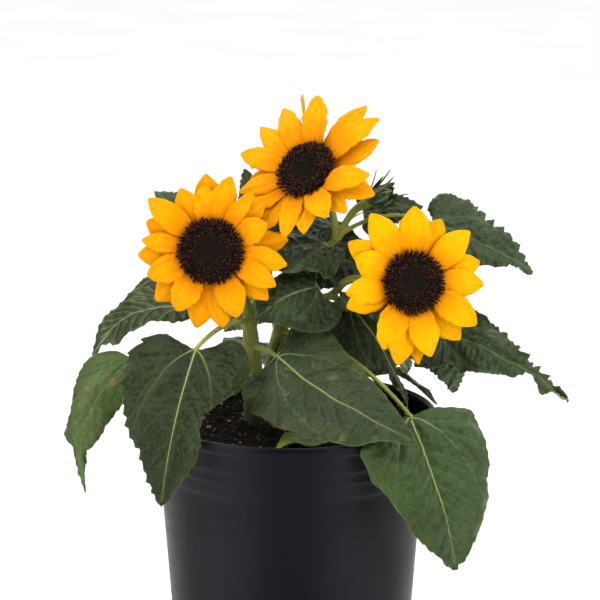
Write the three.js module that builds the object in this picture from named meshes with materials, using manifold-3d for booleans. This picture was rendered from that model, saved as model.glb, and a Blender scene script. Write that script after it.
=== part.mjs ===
// A dwarf sunflower in a black nursery pot: one branching stem, its leaves, three blooms and a bud.
// Millimetres, +Z up. The origin is the centre of the pot's flat underside.
import * as THREE from 'three';
import { mergeVertices } from 'three/addons/utils/BufferGeometryUtils.js';
import Module from 'manifold-3d';

const wasm = await Module();
wasm.setup();

// ---------- driving dimensions ----------
const fit = 0.3;                  // clearance between pieces that touch
const potSides = 24;
const headSides = 16;
const limbSides = 7;
const stalkSides = 5;

const potHeight = 168;
const potBaseRadius = 64.5;
const potBodyTopRadius = 75.5;
const potShoulderHeight = 136;
const potShoulderRadius = 76.5;
const potCollarRadius = 80.5;
const potRimRadius = 82.5;
const potRimDepth = 6;
const potWall = 1.8;
const potFloor = 2.4;
const drainHoles = 8;
const drainHoleRadius = 6;
const drainHoleLength = 24;
const drainHoleSides = 6;

const soilTop = 160;              // the surface at the middle of the pot
const soilEdgeDrop = 2;           // how much lower it lies at the wall

const bladeThickness = 1;
const stalkRadius = 1.7;          // a leaf stalk where it leaves its stem
const baseLobe = 0.14;            // how far most blades reach back beside the stalk, as a part of the length

const headDepth = 13;             // from the back of a flower head to the plane of its petals
const petalThickness = 1.2;

const colours = {
  stem: 0x7d8a52, leaf: 0x4c5f3c, petal: 0xf7ae0c, bud: 0x5a6c3a, pot: 0x201e23, soil: 0x1a1613,
};

// ---------- what grows where ----------
// A heading is [bearing, rise, length]: degrees round from +X, degrees above level, millimetres.

// Stems and boughs: each starts on the limb named by "on", at a fraction "at" of that limb's length.
const limbRows = [
  { name: 'main_stem', foot: [-21, 0, soilTop + fit], radii: [6.6, 5.6, 5.2, 3.6],
    headings: [[0, 90, 16], [206, 86, 30], [137, 85, 16]] },
  { name: 'left_bough', on: 'main_stem', at: 0.97, radii: [2.9, 2.3, 2.2, 2.6],
    headings: [[156, 77, 12], [140, 59, 17], [186, 49, 14], [252, 20, 8], [268, 14, 5]] },
  { name: 'right_bough', on: 'main_stem', at: 0.93, radii: [3.0, 2.5, 2.3, 2.6],
    headings: [[28, 51, 14], [12, 50, 15], [4, 41, 19], [0, 38, 16], [0, 40, 8]] },
  { name: 'back_stem', on: 'main_stem', at: 0.12, radii: [4.4, 4.8, 4.6, 3.0],
    headings: [[61, 40, 14], [50, 59, 15], [19, 78, 15], [337, 73, 17], [335, 47, 14]] },
  { name: 'right_bloom_bough', on: 'back_stem', at: 0.96, radii: [2.6, 2.2, 2.1, 2.5],
    headings: [[341, 13, 19], [333, 39, 17], [354, 3, 23], [310, 2, 12], [280, 6, 4]] },
  { name: 'top_bloom_bough', on: 'right_bough', at: 0.97, radii: [2.3, 2.1, 2.0, 2.4],
    headings: [[112, 72, 12], [160, 72, 12], [230, 46, 9], [238, 39, 4]] },
  { name: 'bud_bough', on: 'right_bough', at: 0.98, radii: [2.3, 2.6, 2.8, 3.0],
    headings: [[12, 57, 16], [2, 38, 8], [338, 27, 5]] },
];

// Leaves: "stalk" and "blade" are headings, the second from the foot of the blade to its tip.
// width: the widest; arch: the middle raised off the straight line, as a part of the length;
// bend: the middle swung to one side, likewise; roll: turned about the midrib; fold: the halves raised;
// cup: the margins let down; lobe: how far the blade reaches back beside its stalk; drip: the part that
// is a narrow tip; lift: how far the stalk bows up, as a part of its length.
const leafRows = [
  { name: 'leaf_left_outer', on: 'main_stem', at: 0.45, stalk: [197, 12, 72],
    blade: [207, -68, 80], width: 36, arch: 0.1, roll: -60, bend: 0.15, fold: 12, cup: 24, lobe: 0.04, drip: 0.28 },
  { name: 'leaf_left_front', on: 'main_stem', at: 0.95, stalk: [237, -5, 53], lift: 0.2,
    blade: [243, -63, 89], width: 65, arch: 0.1, roll: -30, bend: 0.03, fold: 6, cup: 14, lobe: 0.11 },
  { name: 'leaf_left_upper', on: 'left_bough', at: 0.2, stalk: [167, -6, 39],
    blade: [185, -31, 57], width: 42, arch: 0.12, roll: 48, bend: -0.12, fold: 8, cup: 10 },
  { name: 'leaf_left_small', on: 'left_bough', at: 0.4, stalk: [155, 6, 36],
    blade: [162, -27, 36], width: 20, arch: 0.08, roll: -40, fold: 8, cup: 10 },
  { name: 'leaf_behind_left_bloom', on: 'left_bough', at: 0.5, stalk: [136, 43, 33],
    blade: [160, 33, 36], width: 34, arch: 0.05, roll: -40, fold: 10, cup: 10 },
  { name: 'leaf_centre_front', on: 'main_stem', at: 0.72, stalk: [307, -3, 26],
    blade: [320, -18, 102], width: 66, arch: 0.1, roll: 42, bend: 0.06, fold: 4, cup: 14 },
  { name: 'leaf_right_front', on: 'back_stem', at: 0.66, stalk: [314, -16, 108], lift: 0.2,
    blade: [337, -72, 88], width: 80, arch: 0.14, roll: 40, bend: 0.04, fold: 6, cup: 14, lobe: 0.03 },
  { name: 'leaf_centre_small', on: 'right_bough', at: 0.65, stalk: [290, -24, 24],
    blade: [192, -24, 38], width: 40, arch: 0.12, roll: -62, bend: 0.06, fold: -2, cup: 8 },
  { name: 'leaf_centre_folded', on: 'right_bough', at: 0.84, stalk: [275, 24, 10],
    blade: [192, -12, 46], width: 50, arch: 0.1, roll: -26, fold: 18, cup: 26 },
  { name: 'leaf_centre_dark', on: 'right_bough', at: 0.85, stalk: [110, -28, 12],
    blade: [352, -16, 42], width: 40, arch: 0.08, roll: 48, fold: 8, cup: 10, lobe: 0.06 },
  { name: 'leaf_right_upper', on: 'right_bough', at: 0.99, stalk: [8, 6, 55], lift: 0.3,
    blade: [356, -25, 63], width: 48, arch: 0.06, roll: 38, fold: 8, cup: 12, lobe: 0.1 },
  { name: 'leaf_right_outer', on: 'back_stem', at: 0.9, stalk: [355, -9, 83],
    blade: [341, -24, 85], width: 46, arch: 0.12, roll: 45, fold: 12, cup: 18, drip: 0.3 },
  { name: 'leaf_right_curled', on: 'back_stem', at: 0.8, stalk: [351, -11, 87],
    blade: [340, -58, 27], width: 34, arch: 0.14, roll: 34, fold: 30, cup: 74 },
  { name: 'leaf_by_bud', on: 'bud_bough', at: 0.25, stalk: [52, 14, 20],
    blade: [7, 5, 34], width: 18, arch: 0.05, roll: 30, fold: 8, cup: 8 },
  { name: 'leaf_under_right_bloom', on: 'right_bloom_bough', at: 0.27, stalk: [338, -21, 14], lift: 0,
    blade: [351, -61, 66], width: 42, arch: 0.1, roll: 50, fold: 8, cup: 12, lobe: 0.06, drip: 0.34 },
  { name: 'leaf_right_rim', on: 'back_stem', at: 0.15, stalk: [355, 12, 80], lift: 0.02,
    blade: [17, -44, 32], width: 12, arch: 0.04, roll: -20, fold: -10, cup: 8 },
  { name: 'leaf_on_soil', on: 'main_stem', at: 0.12, stalk: [307, -2, 60], lift: 0.05,
    blade: [208, -6, 28], width: 24, arch: 0.03, roll: 0, fold: 4, cup: 6 },
  { name: 'leaf_behind_top', on: 'right_bough', at: 0.3, stalk: [100, 61, 29],
    blade: [148, 70, 45], width: 32, arch: 0.05, roll: -60, fold: 8, cup: 8 },
  { name: 'leaf_behind_stem', on: 'back_stem', at: 0.6, stalk: [139, 65, 29],
    blade: [136, -43, 44], width: 36, arch: 0.06, roll: 60, fold: 8, cup: 8 },
  { name: 'leaf_centre_tiny', on: 'right_bloom_bough', at: 0.21, stalk: [312, 9, 13],
    blade: [345, -28, 22], width: 18, arch: 0.2, roll: 30, fold: 40, cup: 60 },
  { name: 'leaf_back_left', on: 'main_stem', at: 0.45, stalk: [142, 2, 50],
    blade: [122, -34, 80], width: 62, arch: 0.16, roll: 0, fold: 6, cup: 14 },
  { name: 'leaf_back', on: 'back_stem', at: 0.3, stalk: [88, 8, 48],
    blade: [80, -36, 84], width: 64, arch: 0.12, roll: 10, fold: 6, cup: 14 },
  { name: 'leaf_back_right', on: 'back_stem', at: 0.7, stalk: [48, 4, 52],
    blade: [50, -40, 84], width: 62, arch: 0.14, roll: -6, fold: 6, cup: 14 },
  { name: 'leaf_back_upper_left', on: 'left_bough', at: 0.35, stalk: [104, 24, 30],
    blade: [118, -22, 56], width: 42, arch: 0.14, roll: 6, fold: 8, cup: 12 },
  { name: 'leaf_back_upper', on: 'right_bough', at: 0.6, stalk: [100, 24, 30],
    blade: [80, -26, 60], width: 46, arch: 0.14, roll: -8, fold: 8, cup: 12 },
  { name: 'leaf_back_upper_right', on: 'right_bloom_bough', at: 0.36, stalk: [66, 12, 34],
    blade: [48, -30, 58], width: 44, arch: 0.12, roll: 8, fold: 8, cup: 12 },
];

// Blooms: each sits on the end of a bough and faces along a bearing and rise. Petals are longest on
// the side "longSide", degrees round the head, by the part "uneven". lift: the petals' slope forward.
const bloomRows = [
  { name: 'bloom_left', on: 'left_bough', facing: [269, 13], discRadius: 20.5,
    petals: 20, petalReach: 43, uneven: 0.02, longSide: 90, lift: 8 },
  { name: 'bloom_top', on: 'top_bloom_bough', facing: [238, 39], discRadius: 18,
    petals: 18, petalReach: 39, uneven: 0.14, longSide: 75, lift: 5 },
  { name: 'bloom_right', on: 'right_bloom_bough', facing: [284, 12], discRadius: 18.8,
    petals: 16, petalReach: 43, uneven: 0.04, longSide: 270, lift: 8 },
];

// Buds: green, closed, each at the end of its bough, in a whorl of narrow pointed bracts.
const budRows = [
  { name: 'bud_top', on: 'bud_bough', facing: [335, 28], radius: 6.4, length: 11, bracts: 8, bractReach: 11 },
];

// ---------- small helpers ----------
const radians = THREE.MathUtils.degToRad;
const up = new THREE.Vector3(0, 0, 1);

function direction([bearing, rise]) {
  const level = Math.cos(radians(rise));
  return new THREE.Vector3(
    level * Math.cos(radians(bearing)),
    level * Math.sin(radians(bearing)),
    Math.sin(radians(rise)),
  );
}

function stepBy(start, heading) {
  return start.clone().addScaledVector(direction(heading), heading[2]);
}

function solidOf(geometry) {
  const bare = geometry.clone();
  bare.deleteAttribute('normal');
  bare.deleteAttribute('uv');
  const merged = mergeVertices(bare, 1e-4);
  return new wasm.Manifold(new wasm.Mesh({
    numProp: 3,
    vertProperties: new Float32Array(merged.attributes.position.array),
    triVerts: new Uint32Array(merged.index.array),
  }));
}

function geometryOf(solid) {
  const mesh = solid.getMesh();
  const geometry = new THREE.BufferGeometry();
  geometry.setAttribute('position', new THREE.BufferAttribute(mesh.vertProperties, 3));
  geometry.setIndex(new THREE.BufferAttribute(mesh.triVerts, 1));
  geometry.computeVertexNormals();
  return geometry;
}

// Moves every vertex of a geometry to the place that a rule gives for it.
function reshape(geometry, rule) {
  const position = geometry.attributes.position;
  const vertex = new THREE.Vector3();
  for (let i = 0; i < position.count; i += 1) {
    vertex.fromBufferAttribute(position, i);
    const moved = rule(vertex);
    position.setXYZ(i, moved.x, moved.y, moved.z);
  }
  return geometry;
}

// The value at a fraction along an evenly spaced list.
function along(list, fraction) {
  const place = THREE.MathUtils.clamp(fraction, 0, 1) * (list.length - 1);
  const low = Math.min(Math.floor(place), list.length - 2);
  return THREE.MathUtils.lerp(list[low], list[low + 1], place - low);
}

// A tapering round bar bent along a curve: a cylinder with its rings set square to the curve.
function bentBar(curve, radiusAt, sides, rings) {
  const frames = curve.computeFrenetFrames(rings, false);
  return reshape(new THREE.CylinderGeometry(1, 1, 1, sides, rings), (vertex) => {
    const fraction = vertex.y + 0.5;
    const ring = Math.round(fraction * rings);
    const radius = radiusAt(fraction);
    return curve.getPointAt(fraction)
      .addScaledVector(frames.normals[ring], -vertex.x * radius)
      .addScaledVector(frames.binormals[ring], vertex.z * radius);
  });
}

const plant = new THREE.Group();

function place(name, geometry, colour, roughness = 0.6) {
  const material = new THREE.MeshStandardMaterial({ color: colour, roughness, metalness: 0 });
  const mesh = new THREE.Mesh(geometry, material);
  mesh.name = name;
  plant.add(mesh);
  return mesh;
}

// ---------- pot and soil ----------
function turned(profile, segments) {
  const points = profile.map(([radius, height]) => new THREE.Vector2(radius, height));
  return new THREE.LatheGeometry(points, segments).rotateX(Math.PI / 2);
}

function makePot() {
  const rimUnder = potHeight - potRimDepth;
  const wallTop = potCollarRadius - potWall;
  const bodyTopInside = potBodyTopRadius - potWall;
  let pot = solidOf(turned([
    [0, 0],
    [potBaseRadius, 0],
    [potBodyTopRadius, potShoulderHeight - 1],
    [potShoulderRadius, potShoulderHeight + 1],
    [potCollarRadius, rimUnder],
    [potRimRadius, rimUnder + 1],
    [potRimRadius, potHeight - 1],
    [potRimRadius - 1, potHeight],
    [wallTop, potHeight],
    [wallTop, rimUnder],
    [bodyTopInside, potShoulderHeight],
    [potBaseRadius - potWall, potFloor],
    [0, potFloor],
  ], potSides));
  for (let i = 0; i < drainHoles; i += 1) {
    const hole = new THREE.CylinderGeometry(drainHoleRadius, drainHoleRadius, drainHoleLength, drainHoleSides);
    hole.rotateZ(Math.PI / 2);
    hole.translate(potBaseRadius, 0, drainHoleRadius - 1);
    hole.rotateZ((i + 0.5) * 2 * Math.PI / drainHoles);
    pot = pot.subtract(solidOf(hole));
  }
  place('nursery_pot', geometryOf(pot), colours.pot, 0.45);
}

function makeSoil() {
  const bodyTopInside = potBodyTopRadius - potWall - fit;
  const wallTop = potCollarRadius - potWall - fit;
  const soilEdge = soilTop - soilEdgeDrop;
  const climb = (soilEdge - potShoulderHeight) / (potHeight - potRimDepth - potShoulderHeight);
  place('soil', turned([
    [0, potFloor + fit],
    [potBaseRadius - potWall - 2 * fit, potFloor + fit],
    [bodyTopInside, potShoulderHeight],
    [bodyTopInside + (wallTop - bodyTopInside) * climb - fit, soilEdge],
    [potBaseRadius, soilTop],
    [0, soilTop],
  ], potSides), colours.soil, 0.95);
}

// ---------- limbs ----------
const limbs = new Map();

function growLimb(row) {
  const points = [row.foot ? new THREE.Vector3(...row.foot) : limbs.get(row.on).curve.getPointAt(row.at)];
  row.headings.forEach((heading, i) => points.push(stepBy(points[i], heading)));
  const curve = new THREE.CatmullRomCurve3(points, false, 'catmullrom', 0.5);
  limbs.set(row.name, { curve, radii: row.radii, rings: row.headings.length + 2 });
}

// The limb's round bar, made thicker all round by a margin.
function limbSolid(limb, margin = 0) {
  return solidOf(bentBar(limb.curve, (fraction) => along(limb.radii, fraction) + margin, limbSides, limb.rings));
}

function makeLimbs() {
  limbRows.forEach(growLimb);
  const earlier = [];
  for (const { name } of limbRows) {
    const limb = limbs.get(name);
    const solid = earlier.reduce((rest, cutter) => rest.subtract(cutter), limbSolid(limb));
    place(name, geometryOf(solid), colours.stem);
    limb.cutter = limbSolid(limb, fit);
    earlier.push(limb.cutter);
  }
}

// ---------- leaves ----------
// Half the blade's width at a fraction of its length, as a part of the widest half.
function bladeOutline(fraction, drip = 0) {
  const body = Math.min(fraction / (1 - drip), 1);
  const ovate = 1.7 * (body + 0.01) ** 0.2 * (1 - body) ** (drip > 0 ? 0.7 : 1);
  const tail = drip > 0 ? 0.2 * (1 - fraction) ** 0.5 : 0;
  return Math.max(ovate, tail);
}

function bladeFrame(row) {
  const chord = direction(row.blade);
  const side = new THREE.Vector3().crossVectors(chord, up).normalize().applyAxisAngle(chord, radians(row.roll));
  return { chord, side };
}

// A point of the blade: u runs from its foot to its tip, v from one margin to the other, -1 to 1,
// and w is the height above its middle surface.
function bladePoint(row, foot, u, v, w) {
  const { chord, side } = bladeFrame(row);
  const length = row.blade[2];
  const normal = new THREE.Vector3().crossVectors(side, chord);
  const across = row.width / 2 * bladeOutline(u, row.drip) * v + 0.5 * v;
  const slope = radians(row.fold) - radians(row.cup) * Math.abs(v);
  const back = (row.lobe ?? baseLobe) * Math.abs(v) ** 1.6 * (1 - u) ** 3;
  return foot.clone()
    .addScaledVector(chord, length * (u - back))
    .addScaledVector(side, length * (row.bend ?? 0) * 4 * u * (1 - u) + across * Math.cos(slope))
    .addScaledVector(normal, length * row.arch * 4 * u * (1 - u) + Math.abs(across) * Math.sin(slope) + w);
}

function makeLeaf(row) {
  const limb = limbs.get(row.on);
  const start = limb.curve.getPointAt(row.at);
  const foot = stepBy(start, row.stalk);
  const middle = start.clone().lerp(foot, 0.5).addScaledVector(up, (row.lift ?? 0.15) * row.stalk[2]);
  const stalk = bentBar(
    new THREE.QuadraticBezierCurve3(start, middle, foot),
    (fraction) => stalkRadius * (1 - 0.35 * fraction), stalkSides, 3,
  );
  const blade = reshape(new THREE.BoxGeometry(2, 1, bladeThickness, 4, 5, 1), (vertex) =>
    bladePoint(row, foot, (vertex.y + 0.5) ** 1.4, vertex.x, vertex.z));
  let leaf = solidOf(stalk).add(solidOf(blade));
  limbs.forEach(({ cutter }) => { leaf = leaf.subtract(cutter); });
  place(row.name, geometryOf(leaf), colours.leaf);
}

// ---------- blooms ----------
// The distance of the petals' edge from the middle of the head, at an angle round it.
function petalEdge(row, angle) {
  const phase = angle / (2 * Math.PI) * row.petals % 1;
  const reach = row.petalReach * (1 + row.uneven * Math.cos(angle - radians(row.longSide)));
  return reach * (0.74 + 0.26 * Math.sin(Math.PI * phase) ** 0.8);
}

function makeBloom(row) {
  const head = solidOf(turned([
    [0, -headDepth],
    [5, -headDepth],
    [row.discRadius * 0.75, -headDepth * 0.6],
    [row.discRadius, -headDepth * 0.15],
    [row.discRadius, 1.5],
    [row.discRadius * 0.8, 4],
    [row.discRadius * 0.35, 4.6],
    [0, 3.6],
  ], headSides));
  const pointsPerPetal = 4;
  const edge = [];
  for (let i = 0; i < row.petals * pointsPerPetal; i += 1) {
    const angle = i / (row.petals * pointsPerPetal) * 2 * Math.PI;
    const radius = petalEdge(row, angle);
    edge.push(new THREE.Vector2(radius * Math.cos(angle), radius * Math.sin(angle)));
  }
  const outline = new THREE.Shape(edge);
  outline.holes.push(new THREE.Path().absarc(0, 0, row.discRadius * 0.7, 0, 2 * Math.PI, true));
  const ring = new THREE.ExtrudeGeometry(outline, { depth: petalThickness, bevelEnabled: false, curveSegments: 8 });
  const slope = Math.tan(radians(row.lift));
  reshape(ring, (vertex) => {
    const radius = Math.hypot(vertex.x, vertex.y);
    return vertex.setZ(vertex.z - petalThickness / 2 + slope * (radius - row.discRadius));
  });
  const bloom = geometryOf(head.add(solidOf(ring)));
  const facing = direction(row.facing);
  const mesh = place(row.name, bloom, colours.petal);
  mesh.position.copy(limbs.get(row.on).curve.getPointAt(1)).addScaledVector(facing, headDepth + fit);
  mesh.quaternion.setFromRotationMatrix(headAxes(facing));
}

// A head's own axes: Z the way it faces, Y as near to upward as that allows.
function headAxes(facing) {
  const right = new THREE.Vector3().crossVectors(up, facing).normalize();
  const top = new THREE.Vector3().crossVectors(facing, right);
  return new THREE.Matrix4().makeBasis(right, top, facing);
}

// ---------- buds ----------
function makeBud(row) {
  const { radius, length, bracts, bractReach } = row;
  let bud = solidOf(turned([
    [0, 0],
    [3, 0],
    [radius * 0.8, length * 0.2],
    [radius, length * 0.45],
    [radius * 0.75, length * 0.75],
    [radius * 0.3, length],
    [0, length],
  ], 12));
  for (let i = 0; i < bracts; i += 1) {
    const outer = i % 2;
    const bract = new THREE.ConeGeometry(1.5, bractReach, 4);
    bract.translate(0, bractReach / 2, 0);
    bract.rotateZ(radians(outer ? -62 : -34));
    bract.translate(radius * 0.55, 0, 0);
    bract.rotateX(Math.PI / 2);
    bract.translate(0, 0, length * (outer ? 0.3 : 0.5));
    bract.rotateZ(i / bracts * 2 * Math.PI);
    bud = bud.add(solidOf(bract));
  }
  const facing = direction(row.facing);
  const mesh = place(row.name, geometryOf(bud), colours.bud);
  mesh.position.copy(limbs.get(row.on).curve.getPointAt(1)).addScaledVector(facing, fit);
  mesh.quaternion.setFromRotationMatrix(headAxes(facing));
}

makePot();
makeSoil();
makeLimbs();
leafRows.forEach(makeLeaf);
bloomRows.forEach(makeBloom);
budRows.forEach(makeBud);

export default plant;
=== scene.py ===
"""The looks of a potted dwarf sunflower: leaves, stems, blooms, bud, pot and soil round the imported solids.

The tables hold millimetres and degrees; every mesh is in metres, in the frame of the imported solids.
"""
import math
from types import SimpleNamespace

import bpy
import numpy as np
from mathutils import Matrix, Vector, kdtree


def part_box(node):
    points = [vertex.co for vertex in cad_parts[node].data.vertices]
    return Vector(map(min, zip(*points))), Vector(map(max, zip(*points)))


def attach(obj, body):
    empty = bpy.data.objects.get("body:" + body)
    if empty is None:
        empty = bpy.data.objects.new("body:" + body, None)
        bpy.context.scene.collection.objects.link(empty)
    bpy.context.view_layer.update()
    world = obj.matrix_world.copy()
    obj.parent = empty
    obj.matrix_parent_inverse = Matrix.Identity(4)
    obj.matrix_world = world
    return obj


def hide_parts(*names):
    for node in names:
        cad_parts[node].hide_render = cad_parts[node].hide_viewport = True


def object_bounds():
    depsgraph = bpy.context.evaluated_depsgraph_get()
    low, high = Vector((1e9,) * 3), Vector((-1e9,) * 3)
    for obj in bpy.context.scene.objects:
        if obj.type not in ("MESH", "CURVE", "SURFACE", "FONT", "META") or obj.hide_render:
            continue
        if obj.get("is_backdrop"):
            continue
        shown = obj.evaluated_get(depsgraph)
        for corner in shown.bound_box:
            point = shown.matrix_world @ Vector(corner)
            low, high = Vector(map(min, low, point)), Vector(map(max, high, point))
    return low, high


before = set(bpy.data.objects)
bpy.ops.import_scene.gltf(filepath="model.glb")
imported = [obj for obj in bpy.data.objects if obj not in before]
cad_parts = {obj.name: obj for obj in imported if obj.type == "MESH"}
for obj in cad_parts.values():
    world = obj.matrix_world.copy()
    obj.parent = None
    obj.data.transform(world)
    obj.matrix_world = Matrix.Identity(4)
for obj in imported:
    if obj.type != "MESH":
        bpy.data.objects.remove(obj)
CAD_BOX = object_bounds()

bl_info = {
    "name": "Potted Sunflower",
    "version": (1, 0, 0),
    "blender": (4, 5, 0),
    "location": "3D View > Sidebar > Sunflower",
    "description": "Builds a dwarf sunflower in a nursery pot, piece by piece",
    "category": "Add Mesh",
}

MM = 0.001
GOLDEN_ANGLE = math.pi * (3 - math.sqrt(5))

# ---------- what grows where ----------
# A heading is (bearing, rise, length): degrees round from +X, degrees above level, millimetres.

SOIL_TOP = 160
FIT = 0.3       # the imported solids' gap between one and the next
HEAD_DEPTH = 13     # from the end of its bough to the plane of a bloom's petals
LEAF_SEED, BLOOM_SEED, BUD_SEED, SEED_STEP = 100, 3, 71, 10
BLADE_ROW, BLADE_COLUMN, BAR_STEP = 0.6, 0.62, 1.5      # the size of their meshes' faces
MAP_SIZE = 100      # the millimetres of a blade that its flat map is one across for
STEM_AGES = {"back_stem": 1.0, "main_stem": 0.35}       # how brown; other limbs are YOUNG
YOUNG = 0.25


def limb(radii, headings, on=None, at=0, foot=None):
    """A stem or bough: its radii at even steps and its headings, from a foot or so far along another."""
    return SimpleNamespace(**locals())


LIMBS = {
    "main_stem": limb((6.6, 5.6, 5.2, 3.6), ((0, 90, 16), (206, 86, 30), (137, 85, 16)),
        foot=(-21, 0, SOIL_TOP + FIT)),
    "left_bough": limb((2.9, 2.3, 2.2, 2.6),
        ((156, 77, 12), (140, 59, 17), (186, 49, 14), (252, 20, 8), (268, 14, 5)), "main_stem", 0.97),
    "right_bough": limb((3.0, 2.5, 2.3, 2.6),
        ((28, 51, 14), (12, 50, 15), (4, 41, 19), (0, 38, 16), (0, 40, 8)), "main_stem", 0.93),
    "back_stem": limb((4.4, 4.8, 4.6, 3.0),
        ((61, 40, 14), (50, 59, 15), (19, 78, 15), (337, 73, 17), (335, 47, 14)), "main_stem", 0.12),
    "right_bloom_bough": limb((2.6, 2.2, 2.1, 2.5),
        ((341, 13, 19), (333, 39, 17), (354, 3, 23), (310, 2, 12), (280, 6, 4)), "back_stem", 0.96),
    "top_bloom_bough": limb((2.3, 2.1, 2.0, 2.4),
        ((112, 72, 12), (160, 72, 12), (230, 46, 9), (238, 39, 4)), "right_bough", 0.97),
    "bud_bough": limb((1.9, 1.8, 2.2, 3.1), ((12, 57, 16), (2, 38, 8), (338, 27, 5)), "right_bough", 0.98),
}


def leaf(on, at, stalk, blade, width, arch, roll, fold, cup, *, bend=0, lift=0.15, drip=0, lobes=(0.12, 0.12),
         teeth=(0.8, 0.8), tooth_gap=None, shape=((1,), (1,)), tint="#202a15", worn=0.0, fresh=0.15, pale=0.0,
         ribs=1.0, girth=1.0, pucker=1.0, wave=1.0, pleats=0):
    """A leaf so far along a limb; stalk and blade are headings, the blade's from its foot to its tip.

    width: the widest; arch and bend: the middle raised, or swung aside, as a part of the length; roll: turned
    about the midrib; fold: the halves raised; cup: the margins let down; lift: the stalk's upward bow; drip:
    the part that is a narrow tip. tint: its green; worn, fresh and pale: how blotched it is, how light its
    margins are and how light its veins, less than nothing for darker ones; ribs: how plain its ribs are;
    girth: how stout its stalk is. pucker and wave: how far it stands up between its veins, and waves;
    pleats: how far it stands up between its side veins in even folds. Of its left and right halves, seen
    from its upper side with the tip down: lobes: how far they reach back beside the stalk; teeth: the depth
    of their teeth, tooth_gap apart; shape: how much wider than usual they are at even steps to the tip.
    """
    return SimpleNamespace(**locals())


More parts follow.
